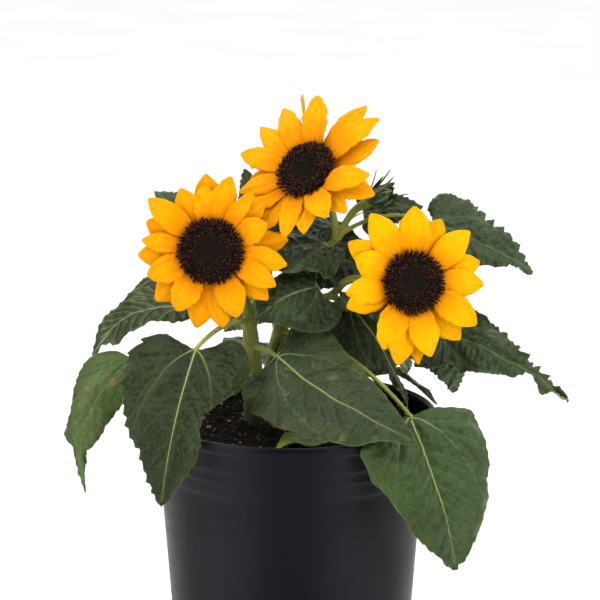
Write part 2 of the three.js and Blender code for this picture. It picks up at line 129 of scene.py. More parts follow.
LEAVES = {
    "leaf_left_outer": leaf("main_stem", 0.45, (197, 12, 72), (207, -68, 80), 34, 0.1, -60, 12, 24,
        bend=0.15, lobes=(0.04, 0.04), drip=0.28, tint="#506537", worn=1.0, fresh=0.8, teeth=(0.5, 0.4),
        pucker=0.7, ribs=0.25, shape=((1, 1, 1.05, 1.05, 1.1, 1.2, 1.4, 1.6, 1.9, 1.6, 1),
        (1, 1.1, 1.12, 1.1, 1.05, 1.1, 1.5, 2.8, 2.1, 1.6, 1))),
    "leaf_left_front": leaf("main_stem", 0.95, (237, -5, 53), (243, -63, 89), 65, 0.1, -30, 6, 14, lift=0.2,
        bend=0.03, lobes=(0.15, 0.085), teeth=(0.4, 2.3), tint="#1b250b", pale=-0.2,
        shape=((0.9, 1, 1, 0.8, 0.58, 0.64, 0.88, 1, 1, 1, 1),
        (0.85, 0.98, 1.1, 1.2, 1.27, 1.3, 1.24, 1.15, 1.1, 1.05, 1))),
    "leaf_left_upper": leaf("left_bough", 0.2, (167, -6, 39), (185, -31, 57), 42, 0.12, 48, 8, 10,
        bend=-0.12, teeth=(0.4, 1.5), pale=0.8, pucker=1.4,
        shape=((0.8, 0.85, 0.95, 1, 1, 1, 1, 1, 1, 1, 1),
        (1, 1, 1, 1, 1, 1.05, 1.15, 1.25, 1.35, 1.4, 1.3))),
    "leaf_left_small": leaf("left_bough", 0.4, (155, 6, 36), (162, -27, 36), 20, 0.08, -40, 8, 10),
    "leaf_behind_left_bloom": leaf("left_bough", 0.5, (136, 43, 33), (160, 33, 36), 34, 0.05, -40, 10, 10,
        tint="#445138"),
    "leaf_centre_front": leaf("main_stem", 0.72, (307, -3, 26), (320, -18, 102), 66, 0.1, 42, 4, 14,
        bend=0.06, worn=0.5, teeth=(0.3, 0.3), tint="#2d3b20", fresh=0.3, pucker=0.8, pale=-0.15,
        shape=((1, 1, 1, 1, 1.03, 1.06, 1.1, 1.15, 1.15, 1.1, 1),
        (1, 1, 1, 1.08, 1.12, 1.18, 1.22, 1.25, 1.2, 1.1, 1))),
    "leaf_right_front": leaf("back_stem", 0.66, (314, -16, 108), (337, -72, 88), 80, 0.14, 40, 6, 14,
        lift=0.2, bend=0.04, lobes=(0.0, 0.06), tint="#324620", teeth=(0.5, 0.3), pucker=1.4, fresh=0.8,
        shape=((0.85, 0.95, 1.05, 1.12, 1.22, 1.32, 1.38, 1.4, 1.4, 1.4, 1.4),
        (0.85, 0.85, 0.88, 0.95, 0.92, 0.92, 0.95, 1, 1.02, 1.05, 1))),
    "leaf_centre_small": leaf("right_bough", 0.65, (290, -24, 24), (192, -24, 38), 44, 0.12, -62, -2, 8,
        bend=0.06, lobes=(0.18, 0.12), teeth=(0.3, 0.3), tint="#1f2d16", wave=1.2, ribs=0.5, pucker=1.6,
        girth=0.6, shape=((1.0, 1.1, 1.25, 1.35, 1.35, 1.35, 1.35, 1.4, 1.5, 1.5, 1.4),
        (0.75, 0.75, 0.78, 0.8, 0.85, 0.9, 1, 1.15, 1.3, 1.4, 1.4))),
    "leaf_centre_folded": leaf("right_bough", 0.84, (275, 24, 10), (192, -12, 46), 52, 0.1, -26, 18, 26,
        tint="#202a19", ribs=0.25, teeth=(0.3, 0.3), wave=1.3, pucker=1.6, pleats=0.5, lobes=(0.22, 0.22),
        shape=((0.7, 0.8, 0.95, 1, 1, 1, 1, 1, 1, 1, 1), (0.9,))),
    "leaf_centre_dark": leaf("right_bough", 0.85, (110, -28, 12), (352, -16, 42), 48, 0.08, 48, 8, 10,
        lobes=(0.35, 0.35), tint="#1e2717", pucker=1.8, ribs=0.3, pleats=0.5),
    "leaf_right_upper": leaf("right_bough", 0.99, (8, 6, 55), (356, -25, 63), 50, 0.06, 38, 8, 12, lift=0.3,
        lobes=(0.12, 0.12), tint="#36472c", teeth=(3.0, 0.6), tooth_gap=6.5, pucker=1.6, pleats=1.3,
        ribs=0.3, girth=0.75, shape=((1, 1, 1, 1, 1, 1, 1, 1, 0.95, 0.9, 0.8),
        (1, 1, 1, 1, 0.97, 0.92, 0.86, 0.8, 0.76, 0.72, 0.7))),
    "leaf_right_outer": leaf("back_stem", 0.9, (355, -9, 83), (341, -24, 85), 46, 0.12, 45, 12, 18,
        drip=0.3, tint="#303f27", teeth=(1.4, 0.4), wave=1.8, pucker=1.6, pleats=1.3, ribs=0.35,
        shape=((1, 1, 1, 1, 1, 1, 1, 1.2, 1.7, 1.4, 1), (1, 1, 1, 1, 1, 1, 1, 1.2, 2.1, 1.6, 1))),
    "leaf_right_curled": leaf("back_stem", 0.8, (351, -11, 87), (340, -58, 27), 44, 0.14, 34, 30, 74,
        wave=2.0, pucker=1.6, teeth=(1.4, 1.4), tint="#4d6042", pleats=1.0, shape=((1.1,), (0.62,))),
    "leaf_by_bud": leaf("bud_bough", 0.25, (52, 14, 20), (7, 5, 34), 28, 0.05, 58, 8, 8, tint="#161d10",
        pucker=1.3, girth=0.6, ribs=0.3),
    "leaf_under_right_bloom": leaf("right_bloom_bough", 0.27, (338, -21, 14), (351, -61, 66), 42, 0.1, 50,
        8, 12, lift=0, drip=0.34, shape=((1,), (1, 1.1, 1.3, 1.5, 1.7, 1.8, 1.8, 1.7, 1.5, 1.2, 1))),
    "leaf_right_rim": leaf("back_stem", 0.15, (355, 12, 80), (17, -44, 32), 24, 0.04, -20, -10, 8,
        lift=0.02, teeth=(0.2, 0.2), tint="#37422a", girth=2.0, ribs=0.2, shape=((0.45,),
        (0.55, 0.55, 0.55, 0.6, 0.6, 0.6, 0.6, 0.6, 0.6, 0.6, 0.6))),
    "leaf_on_soil": leaf("main_stem", 0.12, (307, -2, 60), (208, -6, 28), 32, 0.03, 0, 4, 6, lift=0.05,
        tint="#738d1c", teeth=(0.1, 0.1), pucker=0.5),
    "leaf_behind_top": leaf("right_bough", 0.3, (100, 61, 29), (148, 70, 45), 32, 0.05, -60, 8, 8,
        tint="#445138"),
    "leaf_behind_stem": leaf("back_stem", 0.6, (139, 65, 29), (136, -43, 44), 36, 0.06, 60, 8, 8,
        tint="#66794e"),
    "leaf_centre_tiny": leaf("right_bloom_bough", 0.21, (312, 9, 13), (345, -28, 22), 18, 0.2, 30, 40, 60,
        tint="#3b4e26"),
    "leaf_back_left": leaf("main_stem", 0.45, (142, 2, 50), (122, -34, 80), 62, 0.16, 0, 6, 14),
    "leaf_back": leaf("back_stem", 0.3, (88, 8, 48), (80, -36, 84), 64, 0.12, 10, 6, 14),
    "leaf_back_right": leaf("back_stem", 0.7, (48, 4, 52), (50, -40, 84), 62, 0.14, -6, 6, 14),
    "leaf_back_upper_left": leaf("left_bough", 0.35, (104, 24, 30), (118, -22, 56), 42, 0.14, 6, 8, 12),
    "leaf_back_upper": leaf("right_bough", 0.6, (100, 24, 30), (80, -26, 60), 46, 0.14, -8, 8, 12),
    "leaf_back_upper_right": leaf("right_bloom_bough", 0.36, (66, 12, 34), (48, -30, 58), 44, 0.12, 8, 8,
        12),
}


def bloom(on, facing, disc, tip, base, petals):
    """A bloom at the end of a limb, its petals coloured from base to tip.

    A petal is (angle of its tip round the head, reach, width, row, lean, rise): the angle from the head's
    right towards its top, row 0 in front and 1 behind, lean the degrees from its foot to its tip, and rise
    how far it stands up, none if left out.
    """
    return SimpleNamespace(**locals())


BLOOMS = {
    "bloom_left": bloom("left_bough", (269, 13), 18.0, "#f7a807", "#e58703",
        ((97, 37.5, 12.5, 0, 0), (94, 43.5, 13, 1, 2), (75, 43.5, 13.5, 0, -3), (54, 41, 8.5, 0, -4),
        (41, 40, 11, 1, -6), (26, 35.5, 14, 0, -3), (9, 44, 11.5, 1, 2), (350, 43.5, 13, 0, -3),
        (332, 41.5, 12, 0, -3), (320, 42, 11, 1, -3), (292, 40, 15, 0, -7), (279, 43.5, 12, 1, -2),
        (259, 43.5, 13, 1, -4), (240, 38.5, 15, 0, 2), (222, 41.5, 13, 1, 2), (201, 38, 14, 0, -4),
        (183, 41, 12.5, 1, -2), (171, 39, 11, 0, 1), (155, 40, 13, 1, -2), (140, 45.5, 13.5, 0, 1),
        (116, 39, 12, 1, -2))),
    "bloom_top": bloom("top_bloom_bough", (238, 39), 16.8, "#f4ad07", "#e68b03",
        ((103, 49, 14.5, 0, 8, 14), (114, 53, 4, 1, 0, 14), (129, 51, 12.5, 0, 0, 10),
        (149, 47.5, 12, 0, 0, 6), (174, 45.5, 13, 0, 2), (190, 38, 10, 1, 0), (206, 42, 12, 0, 3),
        (222, 43, 12.5, 1, 2), (246, 42, 10, 1, 8), (269, 41.5, 12, 0, 0), (289, 41, 10, 1, 3),
        (311, 37, 14, 0, 3, 22), (326, 38, 9.5, 1, -1, 16), (350, 45.5, 11.5, 1, 1, 10),
        (0, 43, 14, 0, 22, 34), (36, 44, 12, 1, 3, 8), (47, 50, 14.5, 0, 1, 12),
        (64, 50, 11.5, 1, -2, 14))),
    "bloom_right": bloom("right_bloom_bough", (284, 12), 17.0, "#f8b904", "#ec9303",
        ((86, 42.5, 17, 0, 0), (61, 39.5, 13, 1, -2), (37, 44.6, 15.5, 0, 0), (14, 41, 13, 1, 0),
        (356, 42, 14.5, 0, 0), (324, 43.5, 15, 0, -3), (309, 43, 14, 1, 0), (280, 42.5, 15.5, 0, 0),
        (272, 46, 9, 1, 1), (256, 47, 13.5, 1, 0), (243, 41, 16, 0, 6), (197, 40.5, 12, 1, 0),
        (186, 38.5, 14.5, 0, 0), (146, 43.5, 12, 1, 0), (154, 36.5, 15, 0, -2), (120, 45.6, 16, 0, 0))),
}
BUDS = {"bud_top": SimpleNamespace(on="bud_bough", facing=(335, 28), radius=6.4, length=11)}


# ---------- vectors and curves ----------
def direction(heading):
    bearing, rise = math.radians(heading[0]), math.radians(heading[1])
    return np.array([math.cos(rise) * math.cos(bearing), math.cos(rise) * math.sin(bearing), math.sin(rise)])


def unit(vectors):
    return vectors / np.maximum(np.linalg.norm(vectors, axis=-1, keepdims=True), 1e-9)


def turned(vector, axis, degrees):
    angle = math.radians(degrees)
    return (vector * math.cos(angle) + np.cross(axis, vector) * math.sin(angle)
            + axis * np.dot(axis, vector) * (1 - math.cos(angle)))


def round_angles(count):
    return np.linspace(0, 2 * math.pi, count, endpoint=False)


def ring(radii, angles, heights):
    return np.stack([radii * np.cos(angles), radii * np.sin(angles), heights], -1)


def bezier(points, count):
    """A smooth curve from the first of three points to the last, drawn towards the middle one."""
    first, middle, last = (np.array(point, float) for point in points)
    t = np.linspace(0, 1, count)[:, None]
    return (1 - t) ** 2 * first + 2 * t * (1 - t) * middle + t ** 2 * last


class Path:
    """A Catmull-Rom curve through points, measured by arc length."""

    def __init__(self, points, samples=240):
        points = [np.array(point, float) for point in points]
        ends = [2 * points[0] - points[1], *points, 2 * points[-1] - points[-2]]
        places = []
        for t in np.linspace(0, len(points) - 1, samples):
            i = min(int(t), len(points) - 2)
            w = t - i
            before, start, end, after = ends[i:i + 4]
            leave, arrive = (end - before) / 2, (after - start) / 2
            places.append(
                start + leave * w + (3 * end - 3 * start - 2 * leave - arrive) * w ** 2
                + (2 * start - 2 * end + leave + arrive) * w ** 3)
        self.places = np.array(places)
        steps = np.linalg.norm(np.diff(self.places, axis=0), axis=1)
        self.length = steps.sum()
        self.fractions = np.concatenate([[0], np.cumsum(steps)]) / self.length

    def at(self, fraction):
        return np.stack([np.interp(fraction, self.fractions, self.places[:, k]) for k in range(3)], -1)


def grow_limbs():
    paths = {}
    for name, given in LIMBS.items():
        points = [np.array(given.foot, float) if given.foot else paths[given.on].at(given.at)]
        for heading in given.headings:
            points.append(points[-1] + direction(heading) * heading[2])
        paths[name] = Path(points)
    return paths


PATHS = grow_limbs()


def ripples(points, wavelength, seed, waves=7):
    """Smooth uneven values, mostly between -1 and 1, from waves in random directions."""
    dice = np.random.default_rng(seed)
    ways = unit(dice.normal(size=(waves, points.shape[-1]))) * dice.uniform(0.6, 1.7, (waves, 1))
    phases = dice.uniform(0, 2 * math.pi, waves)
    return np.sin(points @ ways.T * (2 * math.pi / wavelength) + phases).sum(-1) / math.sqrt(waves)


# ---------- meshes ----------
def note(mesh, key, numbers):
    """Stores a number, a vector or a colour at each vertex."""
    numbers = np.asarray(numbers, np.float32)
    kind, field = {1: ("FLOAT", "value"), 3: ("FLOAT_VECTOR", "vector"), 4: ("FLOAT_COLOR", "color")}[
        1 if numbers.ndim == 1 else numbers.shape[1]]
    mesh.attributes.new(key, kind, "POINT").data.foreach_set(field, numbers.ravel())


def read_points(mesh):
    points = np.empty(len(mesh.vertices) * 3, np.float32)
    mesh.vertices.foreach_get("co", points)
    return points.reshape(-1, 3)


def write_points(mesh, points):
    mesh.vertices.foreach_set("co", points.astype(np.float32).ravel())
    mesh.update()


def link(thing):
    bpy.context.scene.collection.objects.link(thing)
    return thing


def new_object(name, points, faces, materials=(), values=None, maps=None, smooth=True):
    """An object from points in millimetres. values: numbers at each vertex; maps: places at each corner."""
    mesh = bpy.data.meshes.new(name)
    faces = faces.tolist() if isinstance(faces, np.ndarray) else faces
    mesh.from_pydata((np.asarray(points, float) * MM).tolist(), [], faces)
    for key, numbers in (values or {}).items():
        note(mesh, key, numbers)
    for key, places in (maps or {}).items():
        mesh.uv_layers.new(name=key).data.foreach_set("uv", np.asarray(places, np.float32).ravel())
    if smooth:
        mesh.shade_smooth()
    for material in materials:
        mesh.materials.append(material)
    mesh.update()
    return link(bpy.data.objects.new(name, mesh))


def joined(parts):
    """Points and faces of several parts as one."""
    points, faces, count = [], [], 0
    for part_points, part_faces in parts:
        points.append(part_points)
        faces.extend([[index + count for index in face] for face in part_faces])
        count += len(part_points)
    return np.concatenate(points), faces


def grid_faces(rows, columns, closed=False):
    """Quads of a grid of points, each row going on from the one before; closed rings if asked."""
    index = np.arange(rows * columns).reshape(rows, columns)
    if closed:
        index = np.concatenate([index, index[:, :1]], 1)
    return np.stack([index[:-1, :-1], index[:-1, 1:], index[1:, 1:], index[1:, :-1]], -1).reshape(-1, 4)


def ring_faces(rings, sides):
    """Quads round a stack of rings, and triangles that close it onto the two points that follow them."""
    faces = grid_faces(rings, sides, closed=True).tolist()
    end, last = rings * sides, (rings - 1) * sides
    for i in range(sides):
        after = (i + 1) % sides
        faces += [[end, after, i], [end + 1, last + i, last + after]]
    return faces


def tube(path, radii, sides):
    """A round bar along points, with rounded-off ends."""
    path = np.asarray(path, float)
    radii = np.broadcast_to(radii, len(path)).astype(float)
    forward = unit(np.gradient(path, axis=0))
    side = unit(np.cross(forward[0], [0.3, 0.2, 0.9]))
    angles = round_angles(sides)[:, None]
    rings = []
    for place, ahead, radius in zip(path, forward, radii):
        side = unit(side - ahead * np.dot(side, ahead))
        rings.append(place + radius * (np.cos(angles) * side + np.sin(angles) * np.cross(ahead, side)))
    ends = [path[0] - forward[0] * radii[0] * 0.4, path[-1] + forward[-1] * radii[-1] * 0.4]
    return np.concatenate([np.concatenate(rings), ends]), ring_faces(len(path), sides)


def lathe(profile, segments, wobble=None):
    """A closed solid turned round +Z from (radius, height) pairs, its first and last on the axis."""
    profile = np.array(profile, float)
    rings = ring(profile[1:-1, :1], round_angles(segments), np.repeat(profile[1:-1, 1:], segments, 1))
    if wobble:
        rings = wobble(rings)
    points = np.concatenate([rings.reshape(-1, 3), [[0, 0, profile[0, 1]], [0, 0, profile[-1, 1]]]])
    return points, ring_faces(len(rings), segments)


def sheet(middle, above, below, cell=(0, 0, 1)):
    """A closed thin sheet about a grid of middle points: its points, faces and a map of both its sides.

    above and below are the heights of its two faces over the middle. cell is the (x, y, size) of the
    square of the map that it fills, with its upper face on the left and its lower one on the right.
    """
    rows, columns = middle.shape[:2]
    normals = unit(np.cross(np.gradient(middle, axis=1), np.gradient(middle, axis=0)))
    upper = middle + normals * np.asarray(above)[..., None]
    lower = middle + normals * np.asarray(below)[..., None]
    points = np.concatenate([upper.reshape(-1, 3), lower.reshape(-1, 3)])
    top = grid_faces(rows, columns)
    count = rows * columns
    border = [np.arange(columns), np.arange(rows) * columns + columns - 1,
              count - 1 - np.arange(columns), (rows - 1 - np.arange(rows)) * columns]
    rim = np.concatenate([np.stack([b[:-1], b[1:]], -1) for b in border])
    edge = np.concatenate([rim[:, ::-1], rim + count], 1)
    down, across = np.meshgrid(np.linspace(0.04, 0.96, rows), np.linspace(0.03, 0.47, columns), indexing="ij")
    flat = np.stack([across, down], -1).reshape(-1, 2)
    off_middle = flat - [0.25, 0.5]    # the sheet's edge fills a narrow strip of the map round each face
    out = flat + np.where(np.abs(off_middle) > [0.2199, 0.4599], np.sign(off_middle) * 0.02, 0)
    corners = np.concatenate([
        flat[top], flat[top[:, ::-1]] + [0.5, 0],
        np.stack([flat[edge[:, 0]], flat[edge[:, 1]], out[edge[:, 2] - count], out[edge[:, 3] - count]], 1),
    ])
    faces = np.concatenate([top, top[:, ::-1] + count, edge])
    return points, faces, np.array(cell[:2]) + corners * cell[2]


def from_tree(name, source, tree, numbers):
    """The plain mesh that a geometry node tree makes of an object; numbers are its inputs by name."""
    modifier = source.modifiers.new(name, "NODES")
    modifier.node_group = tree
    for item in tree.interface.items_tree:
        if item.in_out == "INPUT" and item.name in numbers:
            modifier[item.identifier] = numbers[item.name]
    thing = plain_copy(name, source)
    source.modifiers.remove(modifier)
    return thing


def plain_copy(name, source):
    """What an object's modifiers make of it, as a new plain object."""
    graph = bpy.context.evaluated_depsgraph_get()
    mesh = bpy.data.meshes.new_from_object(
        source.evaluated_get(graph), preserve_all_data_layers=True, depsgraph=graph)
    mesh.name = name
    return link(bpy.data.objects.new(name, mesh))


def discard(*things):
    for thing in things:
        mesh = thing.data
        bpy.data.objects.remove(thing)
        bpy.data.meshes.remove(mesh)


def settle(piece, slot, *nodes):
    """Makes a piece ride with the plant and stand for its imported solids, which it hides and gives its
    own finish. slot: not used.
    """
    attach(piece, "root")
    if nodes:
        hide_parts(*nodes)
    for node in nodes:
        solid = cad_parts[node]
        solid.data.materials.clear()
        solid.data.materials.append(piece.data.materials[0])
    return piece


# ---------- nodes ----------
def linear(colour):
    """An sRGB hex colour as linear numbers."""
    parts = [int(colour[i:i + 2], 16) / 255 for i in (1, 3, 5)]
    return (*(p / 12.92 if p <= 0.04045 else ((p + 0.055) / 1.055) ** 2.4 for p in parts), 1.0)


class Nodes:
    """Short ways to add nodes to a tree; those that mix colours also take sRGB hex ones."""

    def __init__(self, tree):
        self.tree = tree

    def add(self, kind, inputs=None, **settings):
        """Adds a node: settings are its own, inputs its sockets' values or the outputs they are linked to."""
        node = self.tree.nodes.new(kind)
        for name, value in settings.items():
            setattr(node, name, value)
        for key, value in (inputs or {}).items():
            if isinstance(value, bpy.types.NodeSocket):
                self.tree.links.new(value, node.inputs[key])
            else:
                node.inputs[key].default_value = value
        return node

    def stored(self, name, output="Fac"):
        return self.add("ShaderNodeAttribute", attribute_name=name).outputs[output]

    def span(self, value, start, end, low=0.0, high=1.0):
        """Maps start to low and end to high, evenly."""
        return self.add("ShaderNodeMapRange", {
            "Value": value, "From Min": start, "From Max": end, "To Min": low, "To Max": high}).outputs[0]

    def soft_span(self, *given):
        """The same, easing in and out."""
        value = self.span(*given)
        value.node.interpolation_type = "SMOOTHSTEP"
        return value

    def mix(self, share, first, second):
        first, second = (linear(tone) if isinstance(tone, str) else tone for tone in (first, second))
        return self.add("ShaderNodeMix", {0: share, 6: first, 7: second}, data_type="RGBA").outputs[2]

    def maths(self, operation, first, second=0.0, third=0.5):
        return self.add("ShaderNodeMath", {0: first, 1: second, 2: third}, operation=operation).outputs[0]

    def plus(self, first, second):
        return self.maths("ADD", first, second)

    def times(self, first, second):
        return self.maths("MULTIPLY", first, second)

    def vector(self, x, y, z):
        return self.add("ShaderNodeCombineXYZ", {0: x, 1: y, 2: z}).outputs[0]

    def parts(self, vector):
        return self.add("ShaderNodeSeparateXYZ", {0: vector}).outputs

    def place(self):
        return self.add("ShaderNodeTexCoord").outputs["Object"]

    def cloud(self, place, scale, detail, roughness=0.5):
        return self.add("ShaderNodeTexNoise", {
            "Vector": place, "Scale": scale, "Detail": detail, "Roughness": roughness}).outputs["Fac"]

    def noise(self, size_mm, detail=3.0, roughness=0.5, stretch=None):
        """Noise whose lumps are about size_mm across, the same wherever the piece is seen from."""
        place = self.place()
        if stretch:
            place = self.add("ShaderNodeMapping", {"Vector": place, "Scale": stretch}).outputs[0]
        return self.cloud(place, 1 / (size_mm * MM), detail, roughness)

    def outside(self, name):
        """How many millimetres outside the nearest rib or vein a place is, from its stored distances."""
        across, along, half_width = self.parts(self.stored(name, "Vector"))
        near = self.maths("MAXIMUM", self.maths("ABSOLUTE", across), self.maths("SUBTRACT", along, 0.7))
        return self.maths("SUBTRACT", near, half_width)

    def bump(self, height, depth_mm, strength, over=None):
        """Relief so many millimetres deep, over another relief if asked."""
        inputs = {"Height": height, "Distance": depth_mm * MM, "Strength": strength}
        return self.add("ShaderNodeBump", inputs | ({"Normal": over} if over else {})).outputs[0]

    def finish(self, colour, roughness, relief=None, specular=0.5, sheen=0.0):
        inputs = {"Base Color": colour, "Roughness": roughness, "Specular IOR Level": specular,
                  "Sheen Weight": sheen}
        shader = self.add("ShaderNodeBsdfPrincipled", inputs | ({"Normal": relief} if relief else {}))
        self.add("ShaderNodeOutputMaterial", {"Surface": shader.outputs[0]})


def material_once(name, draw, *given):
    """The material of that name, its nodes drawn the first time that it is asked for."""
    if name not in bpy.data.materials:
        material = bpy.data.materials.new(name)
        material.use_nodes = True
        material.node_tree.nodes.clear()
        draw(Nodes(material.node_tree), *given)
    return bpy.data.materials[name]


def draw_leaf(n, colours):
    """Living leaf blade, grown: dark green skin under fine hairs, which give it a grey sheen; pale veins
    run over it, and the blade between them stands up in small glossy cushions."""
    tint = n.stored("tint", "Color")
    rib, vein = n.outside("rib"), n.outside("vein")
    patches, grain = n.noise(13, 4.0, 0.6), n.noise(1.3, 4.0, 0.65)
    shade = n.plus(n.span(patches, 0.3, 0.72, 0.78, 1.2), n.span(grain, 0.25, 0.75, -0.2, 0.2))
    skin = n.add("ShaderNodeHueSaturation", {
        "Hue": n.span(patches, 0.25, 0.8, 0.488, 0.508), "Value": shade, "Color": tint}).outputs[0]
    skin = n.mix(n.soft_span(n.stored("rim"), 0.9, 0.1, 0.0, 0.35), skin, "#5a6f38")
    plain = n.maths("MULTIPLY_ADD", n.stored("pale"), 0.6, 0.2)
    upper = n.mix(n.times(plain, n.soft_span(vein, 0.5, 0.0)), skin, colours.vein_hex)
    upper = n.mix(n.soft_span(rib, 1.3, 0.0, 0.0, 0.2), upper, colours.vein_hex)
    upper = n.mix(n.times(n.stored("ribs"), n.soft_span(rib, 0.12, -0.18, 0.0, 0.85)), upper, colours.rib_hex)
    spots = n.times(n.stored("worn"), n.soft_span(n.noise(7, 5.0, 0.62), 0.56, 0.66, 0.0, 0.8))
    upper = n.mix(spots, upper, "#7c6a44")
    lower = n.mix(n.span(patches, 0.3, 0.7, 0.2, 0.6), colours.leaf_under_hex, skin)
    lower = n.mix(n.soft_span(vein, 0.5, 0.0, 0.0, 0.7), lower, "#a4b283")
    lower = n.mix(n.soft_span(rib, 0.4, -0.1, 0.0, 0.95), lower, "#b4c08d")
    colour = n.mix(n.stored("under"), upper, lower)
    plane = n.add("ShaderNodeUVMap", uv_map="BladeMap").outputs[0]
    wander = n.add("ShaderNodeTexNoise", {"Vector": plane, "Scale": MAP_SIZE / 4, "Detail": 2.0})
    bent = n.add("ShaderNodeMix", {0: 0.02, 4: plane, 5: wander.outputs["Color"]}, data_type="VECTOR")
    cells = n.add("ShaderNodeTexVoronoi", {
        "Vector": bent.outputs[1], "Scale": MAP_SIZE / 2.8, "Smoothness": 0.5},
        feature="SMOOTH_F1").outputs["Distance"]
    cushions = n.bump(n.span(cells, 0.0, 0.7, 1.0, 0.0), 0.6, 0.8)
    n.finish(colour, n.span(grain, 0.2, 0.8, 0.32, 0.46), n.bump(grain, 0.14, 0.6, cushions), 0.22)


def draw_stem(n, colours):
    """Living stem, grown: ribbed pale green skin, streaked olive and brown along its length, under
    short stiff hairs, near-black brown at its foot just above the soil."""
    streaks = n.cloud(n.stored("grain", "Vector"), 1.1, 4.0, 0.6)
    green = n.mix(n.soft_span(streaks, 0.35, 0.68), colours.stem_hex, "#9c9f3a")
    green = n.mix(n.soft_span(n.noise(14), 0.45, 0.7, 0.0, 0.55), green, "#5c6a34")
    colour = n.mix(n.times(n.stored("age"), n.soft_span(streaks, 0.62, 0.4, 0.0, 0.9)), green, "#453a22")
    height = n.parts(n.place())["Z"]
    # darker towards the foot: near-black brown from 18 down to 9 millimetres above the soil and below
    splashed = n.soft_span(height, (SOIL_TOP + 18) * MM, (SOIL_TOP + 9) * MM, 0.0, 0.93)
    fine = n.noise(0.7, 2.0)
    n.finish(n.mix(splashed, colour, "#1d1611"), n.span(fine, 0.2, 0.8, 0.42, 0.6),
             n.bump(fine, 0.12, 0.4, n.bump(streaks, 0.35, 0.6)), 0.45, sheen=0.15)


def draw_hair(n):
    """Plant hairs, grown: short stiff clear bristles, which catch the light as a pale fuzz."""
    tone = n.noise(9, 2.0)
    n.finish(n.mix(tone, "#b9bf98", "#d9dcc4"), n.span(tone, 0.3, 0.7, 0.4, 0.6))


def draw_petal(n, tip, base):
    """Ray petal, grown: thin satin yellow skin, deeper orange towards the disc, with fine ribs along it; the
    petals of the row behind are a deeper orange as painted shade.
    """
    across, along, _ = n.parts(n.add("ShaderNodeUVMap", uv_map="PetalMap").outputs[0])
    warmth = n.stored("warmth")
    reach = n.plus(along, n.span(n.noise(6), 0.3, 0.7, -0.1, 0.1))
    colour = n.mix(n.soft_span(reach, 0.2, 0.7), base, tip)
    colour = n.mix(n.soft_span(reach, 0.86, 1.02, 0.0, 0.35), colour, "#efa008")
    # painted shade: the petals of the row behind are mixed deeper orange, on top of a random tone for each petal
    colour = n.mix(warmth, colour, "#ec8f04")
    ribs = n.cloud(n.vector(n.times(across, 26.0), n.times(along, 1.6), warmth), 1.0, 2.0)
    colour = n.mix(n.soft_span(ribs, 0.58, 0.36, 0.0, 0.5), colour, base)
    streaks = n.plus(along, n.span(ribs, 0.3, 0.7, -0.09, 0.09))
    colour = n.mix(n.soft_span(streaks, 0.22, 0.1, 0.0, 0.4), colour, "#8a3c04")
    colour = n.mix(n.times(n.stored("under"), 0.75), colour, "#c9a63a")
    n.finish(colour, n.span(ribs, 0.3, 0.7, 0.44, 0.58), n.bump(ribs, 0.35, 0.5), 0.03)


def draw_florets(n, colours):
    """Disc florets, grown: packed dark buds, greenish black at the middle, brown where they ripen and
    maroon at the edge, dull all over, with a painted brown highlight on the tops of the riper florets."""
    ripe, grain = n.stored("ripeness"), n.noise(1.1, 3.0, 0.7)
    ramp = n.add("ShaderNodeValToRGB", {0: n.plus(ripe, n.span(grain, 0.3, 0.7, -0.1, 0.1))})
    stops = ramp.color_ramp.elements
    stops[0].position, stops[0].color = 0.16, linear("#12100a")
    stops[1].position, stops[1].color = 1.0, linear(colours.floret_hex)
    for where, tone in ((0.38, "#1d1208"), (0.56, "#2c190a"), (0.7, "#1e0f0a"), (0.86, "#260e0c")):
        stops.new(where).color = linear(tone)
    # painted highlight: the upper tips of the florets are lightened to brown where light would catch them
    lit = n.times(n.span(n.stored("top"), 0.55, 1.0), n.span(n.stored("tone"), 0.35, 1.0, 0.0, 0.9))
    lit = n.times(lit, n.span(ripe, 0.2, 0.55, 0.1, 1.0))
    n.finish(n.mix(lit, ramp.outputs[0], "#6b3a14"), n.span(grain, 0.2, 0.8, 0.55, 0.85), specular=0.2)


def draw_pot(n, colours):
    """Black polypropylene, blow-moulded: a satin skin with faint rings from the mould, scuffs and a little
    dust; six faint lighter marks down it stand in for soft reflections."""
    cloud, rings = n.noise(26, 4.0, 0.6), n.noise(3.2, 3.0, 0.6, (0.02, 0.02, 1.0))
    scuffs = n.noise(9, 6.0, 0.7, (0.35, 0.35, 3.0))
    dusty = n.times(n.soft_span(n.noise(0.9, 2.0, 0.6), 0.68, 0.76, 0.0, 0.12), n.soft_span(cloud, 0.4, 0.65))
    x, y, _ = n.parts(n.place())
    # painted reflections: six soft lighter bands round the pot, put into its colour in place of the soft lights'
    # reflections
    marks = n.maths("COSINE", n.times(n.maths("ARCTAN2", x, y), 6.0))
    haze = n.times(n.soft_span(marks, 0.9, -1.0), n.soft_span(cloud, 0.3, 0.6, 0.65, 1.0))
    colour = n.mix(haze, colours.pot_hex, "#1c1a20")
    colour = n.mix(n.soft_span(scuffs, 0.55, 0.75, 0.0, 0.3), colour, "#232127")
    rough = n.plus(n.span(cloud, 0.25, 0.75, 0.32, 0.42), n.soft_span(scuffs, 0.5, 0.75, 0.0, 0.1))
    relief = n.bump(n.noise(0.8, 2.0), 0.05, 0.35, n.bump(rings, 0.12, 0.35))
    n.finish(n.mix(dusty, colour, "#6b6660"), rough, relief, 0.1)


def draw_soil(n, colours):
    """Peat potting mix, milled and moist: near-black brown crumbs with no shine, rougher than it is wet."""
    lumps = n.noise(2.6, 6.0, 0.7)
    n.finish(n.mix(n.span(lumps, 0.35, 0.7), colours.soil_hex, "#281d15"), n.span(lumps, 0.3, 0.7, 0.8, 0.98),
             n.bump(lumps, 1.2, 0.9), 0.25)


